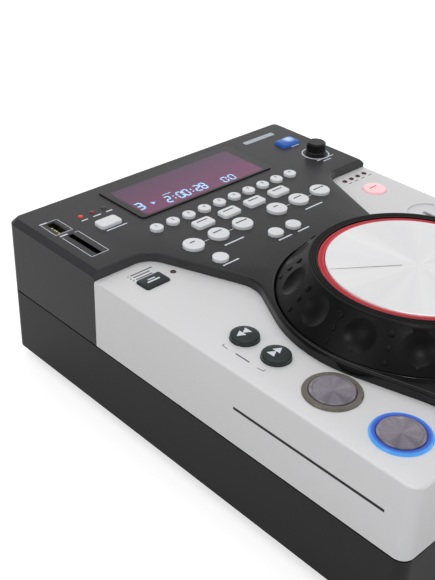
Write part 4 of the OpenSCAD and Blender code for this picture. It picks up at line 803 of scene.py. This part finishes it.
for i in range(1, 11):
    numeral(f"num_key_{i}", str(i % 10), 3.2)

CROWN = 0.3 * MM  # how deep a mark starts below a crowned top


def key_mark(name, key, bars, finish, crown=0.0):
    """Bars on a key's top. Each is half its length, its place behind the middle and its width, in mm."""
    x, y = middle(key).x / MM, middle(key).y / MM
    dashes = [dash(x - half, x + half, y + back, width) for half, back, width in bars]
    print_bars(name, dashes, top(key) - crown, BODY_OF[key], finish, film=crown + INK)


for i in range(1, 5):
    key_mark(f"bar_key_{i}_mark", f"bar_key_{i}", [(3.6, 1.2, 0.9)], grey_ink)
for group in "ab":
    for word, half in (("in", 1.4), ("out", 2.8), ("reloop", 3.8)):
        key = f"loop_{group}_{word}_key"
        key_mark(key + "_mark", key, [(half, 1.2, 0.9)], grey_ink, CROWN)


# %% Arrowheads on the search keys
ARROW_R = 2.8 * MM
ARROW_SINK = 0.5 * MM  # how deep the arrowheads start below the search keys' crowned tops


def arrowheads(node, way):
    """Two arrowheads that point to way, which is 1 for right and -1 for left."""
    parts = []
    for shift in (-2.0, 2.0):
        spot = middle(node) + Vector((shift, 0.9, 0)) * MM
        spot.z = top(node) - ARROW_SINK
        bpy.ops.mesh.primitive_circle_add(vertices=3, radius=ARROW_R, fill_type="NGON", location=spot,
                                          rotation=(0, 0, -way * math.pi / 2))
        parts.append(bpy.context.object)
    join(parts)
    bpy.ops.object.transform_apply(location=False, rotation=True, scale=True)
    thicken(ARROW_SINK + INK)
    return settle(node + "_arrows", BODY_OF[node], white_ink)


arrowheads("search_back_key", -1)
arrowheads("search_forward_key", 1)
key_mark("mode_key_mark", "jog_mode_key", [(2, 1.6, 0.9), (3.6, -0.4, 1.2)], white_ink)
red_ink = ink("screen_ink_red", "#b04850")
key_mark("pitch_key_mark", "pitch_key", [(2.8, 1.4, 0.8)], red_ink, CROWN)


# %% [markdown]
# ## Digits of the display
# A fluorescent display shows each digit as seven bars with blunted corners. A digit is a list of the bars
# that are on, and its bars are printed like ink, but in phosphor, which glows through the tinted window.


# %% Seven-bar digits
SEGMENTS = {"0": "abcdef", "1": "bc", "2": "abged", "3": "abgcd", "4": "fgbc", "5": "afgcd", "6": "afgedc",
            "7": "abc", "8": "abcdefg", "9": "abcdfg"}
LEAN = math.tan(math.radians(8))


def digit_bars(text, x, y, width, height, stroke, pitch):
    """Bars of a row of digits whose lower left corner is x, y."""
    bars = []
    for place, figure in enumerate(text):
        left = x + place * pitch
        half = height / 2
        spots = {"a": (width / 2, height, 0), "g": (width / 2, half, 0), "d": (width / 2, 0, 0),
                 "f": (0, half * 1.5, 1), "b": (width, half * 1.5, 1),
                 "e": (0, half * 0.5, 1), "c": (width, half * 0.5, 1)}
        for name in SEGMENTS.get(figure, ""):
            dx, dy, upright = spots[name]
            length = (half if upright else width) - stroke * 0.5
            bars.append((left + dx + dy * LEAN, y + dy, length, stroke, 82 if upright else 0))
        if figure == ":":
            for up in (0.3 * height, 0.7 * height):
                bars.append((left + width / 2 + up * LEAN, y + up, stroke, stroke, 0))
    return bars


def phosphor():
    """Blue-green phosphor of a fluorescent display, granular where the powder lies."""
    material, tree, shader, place = new_material("display_phosphor", Roughness=0.5, Emission_Strength=5.0)
    powder = noise(tree, place, 0.3)
    tree.links.new(blend(tree, powder, linear("#60e0e4"), linear("#80f4f0")), shader.inputs["Emission Color"])
    return material


glowing = phosphor()
GLASS = top("display_module")
digits = digit_bars("3", -47.0, 105.6, 4.4, 7.6, 1.4, 6)
digits += digit_bars("2:00:28", -27.0, 101.9, 3.5, 7.2, 1.2, 4.75)
digits += digit_bars("00", 18.0, 100.2, 3.8, 6.0, 1.0, 6.0)
digits += [dash(-24.0, -18.0, 112.0, 0.6)]
print_bars("display_digits", digits, GLASS + 0.03 * MM, "case", glowing, 0.25)


# %% Play mark of the display
def play_mark():
    bpy.ops.mesh.primitive_circle_add(vertices=3, radius=2.0 * MM, fill_type="NGON",
                                      location=(-35.0 * MM, 108.0 * MM, GLASS), rotation=(0, 0, -math.pi / 2))
    thicken(INK + BITE)
    return settle("display_play_mark", "case", glowing)


play_mark()


# %% [markdown]
# ## Lip of the wheel's well
# The edge of the well is not sharp. A fine rounded lip runs round it and catches the light as a thin
# line. It is a torus whose lower half lies in the collar.

# %% Well lip
WELL_R = 72.5  # radii of the well and of the lip's own round, in mm
LIP_R = 0.35


def well_lip():
    shown = 0.05  # how far the torus lies off the well's edge, outwards and down, in mm
    bpy.ops.mesh.primitive_torus_add(
        major_segments=144, minor_segments=12, location=(JOG.x, JOG.y, DECK - shown * MM),
        major_radius=(WELL_R + LIP_R + shown) * MM, minor_radius=LIP_R * MM)
    bpy.ops.object.shade_smooth()
    lip_plastic = moulded("polished_black_lip", "#0c0c0d", 0.12, 0.3, 0.0, 0.04, IOR=1.53)
    return settle("well_lip", "case", lip_plastic)


well_lip()

# %% [markdown]
# ## Raised dots on the rim
# Between two finger dimples the rubber has a column of three small raised dots, which give grip. One dot
# is modelled as a short cylinder with a rounded top, and copied along the cone of the rim, tilted to
# stand square on it.


# %% Rim dots
RIM_FOOT = Vector((71.4, 0, 96.8))  # radius and height of the rim cone's ends, in mm
RIM_SHOULDER = Vector((57.0, 0, 114.5))
CONE_BULGE = 1.6  # four times how far the cone bulges out between its ends
DIMPLES = 14
DOT_R = 1.6
DOT_H = 0.6
DOTS = ((0.16, 0.85), (0.47, 1.0), (0.78, 1.15))  # share of the way up the cone, and size


def rim_dot():
    bpy.ops.mesh.primitive_cylinder_add(vertices=20, radius=DOT_R * MM, depth=2 * DOT_H * MM)
    dot = bpy.context.object
    bpy.ops.object.mode_set(mode="EDIT")
    bpy.ops.mesh.select_all(action="DESELECT")
    bpy.ops.mesh.select_mode(type="FACE")
    bpy.ops.object.mode_set(mode="OBJECT")
    for face in dot.data.polygons:
        face.select = face.normal.z > 0.9
    bpy.ops.object.mode_set(mode="EDIT")
    bpy.ops.mesh.bevel(offset=0.35 * MM, segments=3)
    bpy.ops.object.mode_set(mode="OBJECT")
    bpy.ops.object.shade_smooth_by_angle(angle=math.radians(40))
    return dot


def rim_dots():
    slope = (RIM_SHOULDER - RIM_FOOT).normalized()
    normal = Vector((slope.z, 0, -slope.x))
    tilt = normal.to_track_quat("Z", "Y").to_matrix().to_4x4()
    pattern = rim_dot()
    copies = []
    for column in range(DIMPLES):
        turn = Matrix.Rotation(math.tau * column / DIMPLES, 4, "Z")
        around = Matrix.Translation((JOG.x, JOG.y, 0)) @ turn
        for share, size in DOTS:
            spot = RIM_FOOT.lerp(RIM_SHOULDER, share) + normal * CONE_BULGE * share * (1 - share)
            copy = pattern.copy()
            copy.data = pattern.data.copy()
            bpy.context.collection.objects.link(copy)
            copy.matrix_world = around @ Matrix.Translation(spot * MM) @ tilt @ Matrix.Scale(size, 4)
            copies.append(copy)
    bpy.data.objects.remove(pattern)
    join(copies)
    return settle("rim_dots", BODY_OF["jog_rim"], rim_rubber)


rim_dots()


# %% [markdown]
# ## USB contacts
# Four gilt springs lie on the right face of the USB socket's tongue and turn over its top edge. They are
# stamped strips, so each is a plate with bevelled corners: one piece for the faces and one for the tips.


# %% USB contacts
CONTACTS_Y = [(USB_Y + spot) * MM for spot in (-3.5, -1.0, 1.0, 3.5)]
gilt = moulded("gilt_contacts", "#f6e6a8", 0.32, 0.5, 0.0, 0.05, Metallic=0.4)


def usb_contacts(name, centre, length, turn, way):
    """Four plates whose middle is at centre along x and z, each as long as length across the tongue."""
    parts = []
    for y in CONTACTS_Y:
        bpy.ops.mesh.primitive_plane_add(size=1, location=(centre[0], y, centre[1]), rotation=(0, turn, 0))
        parts.append(bpy.context.object)
        parts[-1].scale = (length, 1.4 * MM, 1)
    join(parts)
    bpy.ops.object.transform_apply(location=False, rotation=True, scale=True)
    thicken(0.15 * MM + BITE, 0.25 * MM, way)
    return settle(name, "case", gilt)


TONGUE_TOP = DECK - 2 * MM
STRIP = 7.6 * MM  # length of a contact on the tongue's face
face_spot = (TONGUE[1] * MM - BITE, TONGUE_TOP - STRIP / 2)
tip_spot = (sum(TONGUE) / 2 * MM, TONGUE_TOP - BITE)
faces = usb_contacts("usb_contacts", face_spot, STRIP, math.pi / 2, (1, 0, 0))
tips = usb_contacts("usb_contact_tips", tip_spot, 1.7 * MM, 0, (0, 0, 1))

# %% [markdown]
# ## Pointers and the platter's line
# A white line on the knob's top and one across the fader's cap show their settings. A fine grey line on
# the platter shows how far it has turned. All are printed bars that ride on what they mark.

# %% Pointers and the platter's line
KNOB_DISH = 0.46 * MM  # how far the knob's face lies below its rim
FADER_SADDLE = 1.86 * MM  # how far the groove in the fader's cap lies below its ends
pale_ink = ink("screen_ink_pale_grey", "#8c8c90")

x, y = KNOB.x / MM, KNOB.y / MM
print_bars("knob_pointer", [line(x, y + 2.0, x, y + 4.0, 0.7)],
           top("track_knob") - KNOB_DISH, BODY_OF["track_knob"], white_ink)
x, y = JOG.x / MM, JOG.y / MM
print_bars("platter_mark", [line(x - 38.4, y + 26.2, x - 7.0, y + 4.8, THIN)],
           top("jog_platter"), BODY_OF["jog_platter"], pale_ink)
x, y = FADER.x / MM, FADER.y / MM
print_bars("fader_pointer", [dash(x - 9.1, x + 9.1, y, 0.6)],
           top("fader_cap") - FADER_SADDLE, BODY_OF["fader_cap"], white_ink, film=0.2 * MM)

# %% [markdown]
# ## Camera
# The camera stands where the photograph was taken from, found from the corners of the case: its place,
# the three axes of its frame and its focal length in pixels of a 435 by 580 image.

# %% Camera
IMAGE_W, IMAGE_H = 435, 580
FOCAL_PX = 988.9
PRINCIPAL = (217.214, 292.017)
SENSOR = 36.0
eye = Vector((-379.12, -299.06, 370.76)) * MM
right = Vector((0.7257, -0.6873, 0.0311))
forward = Vector((0.5929, 0.6018, -0.5351)).normalized()
right = (right - forward * right.dot(forward)).normalized()
up = right.cross(forward)

camera = bpy.data.objects.new("camera", bpy.data.cameras.new("camera"))
bpy.context.scene.collection.objects.link(camera)
camera.matrix_world = Matrix.Translation(eye) @ Matrix((right, up, -forward)).transposed().to_4x4()
camera.data.sensor_width = SENSOR
camera.data.lens = FOCAL_PX * SENSOR / IMAGE_H
camera.data.shift_x = (IMAGE_W / 2 - PRINCIPAL[0]) / IMAGE_H
camera.data.shift_y = (PRINCIPAL[1] - IMAGE_H / 2) / IMAGE_H
camera.data.clip_start = 0.01
camera.data.clip_end = 50
bpy.context.scene.camera = camera
print("lens", round(camera.data.lens, 2), "mm")


# %% [markdown]
# ## Floor, lamps and world
# The player stands on a pale floor in a bright tent. The world lights it evenly from all round. A wide
# lamp above adds the soft shadow, one at the left shapes the side, and a small one at the front draws the
# highlight on the rim of the well. Camera rays and transmitted rays see the tent as white. Glossy rays
# see it graded, as a studio is: bright paper near the horizon, a dimmer ceiling and a dark flag at the
# left.


# %% Floor
def pale_floor():
    bpy.ops.mesh.primitive_plane_add(size=8, location=(0, 0, 0))
    floor = bpy.context.object
    floor.name = "floor"
    material, tree, shader, place = new_material("pale_floor", Roughness=0.9, Specular_IOR_Level=0.1)
    shader.inputs["Base Color"].default_value = linear("#c4c4c4")
    shader.inputs["Emission Color"].default_value = (1, 1, 1, 1)
    seen = add(tree, "ShaderNodeLightPath").outputs["Is Camera Ray"]
    tree.links.new(sums(tree, "MULTIPLY", seen, 0.62), shader.inputs["Emission Strength"])
    floor.data.materials.append(material)
    bpy.ops.object.select_all(action="DESELECT")


pale_floor()


# %% Lamps
def soft_lamp(name, place, size, power):
    lamp = bpy.data.objects.new(name, bpy.data.lights.new(name, "AREA"))
    lamp.data.shape = "DISK"
    lamp.data.size = size
    lamp.data.energy = power
    lamp.location = place
    lamp.rotation_mode = "QUATERNION"
    lamp.rotation_quaternion = (Vector((0, 0, 0.05)) - Vector(place)).to_track_quat("-Z", "Y")
    bpy.context.scene.collection.objects.link(lamp)


soft_lamp("overhead", (0.1, 0.35, 1.5), 1.3, 3.8)
soft_lamp("left_fill", (-2.0, 0.3, 1.5), 1.2, 4.5)
soft_lamp("front_highlight", (-0.58, -0.57, 1.27), 0.22, 2.2)


# %% World
def tent():
    world = bpy.data.worlds.new("tent")
    bpy.context.scene.world = world
    world.use_nodes = True
    tree = world.node_tree
    sky = tree.nodes["Background"]
    sky.inputs["Color"].default_value = (1, 1, 1, 1)
    rays = add(tree, "ShaderNodeLightPath").outputs
    way = add(tree, "ShaderNodeTexCoord").outputs["Generated"]
    way = add(tree, "ShaderNodeSeparateXYZ", {0: way}).outputs
    paper = span(tree, way["Z"], 0.25, 0.52, 1.0, 0.36)
    flag = span(tree, way["X"], -0.45, 0.35, 0.2, 1.0)
    mirrored = sums(tree, "MULTIPLY", paper, flag)
    clear = sums(tree, "MAXIMUM", rays["Is Camera Ray"], rays["Is Transmission Ray"])
    level = add(tree, "ShaderNodeMix", {0: rays["Is Glossy Ray"], 2: 0.8, 3: mirrored}).outputs[0]
    level = add(tree, "ShaderNodeMix", {0: clear, 2: level, 3: 1.0}).outputs[0]
    tree.links.new(level, sky.inputs["Strength"])


tent()
bpy.context.scene.view_settings.view_transform = "Standard"

# %% [markdown]
# ## Update
# The view layer is brought up to date.

# %% Update the view layer
bpy.context.view_layer.update()
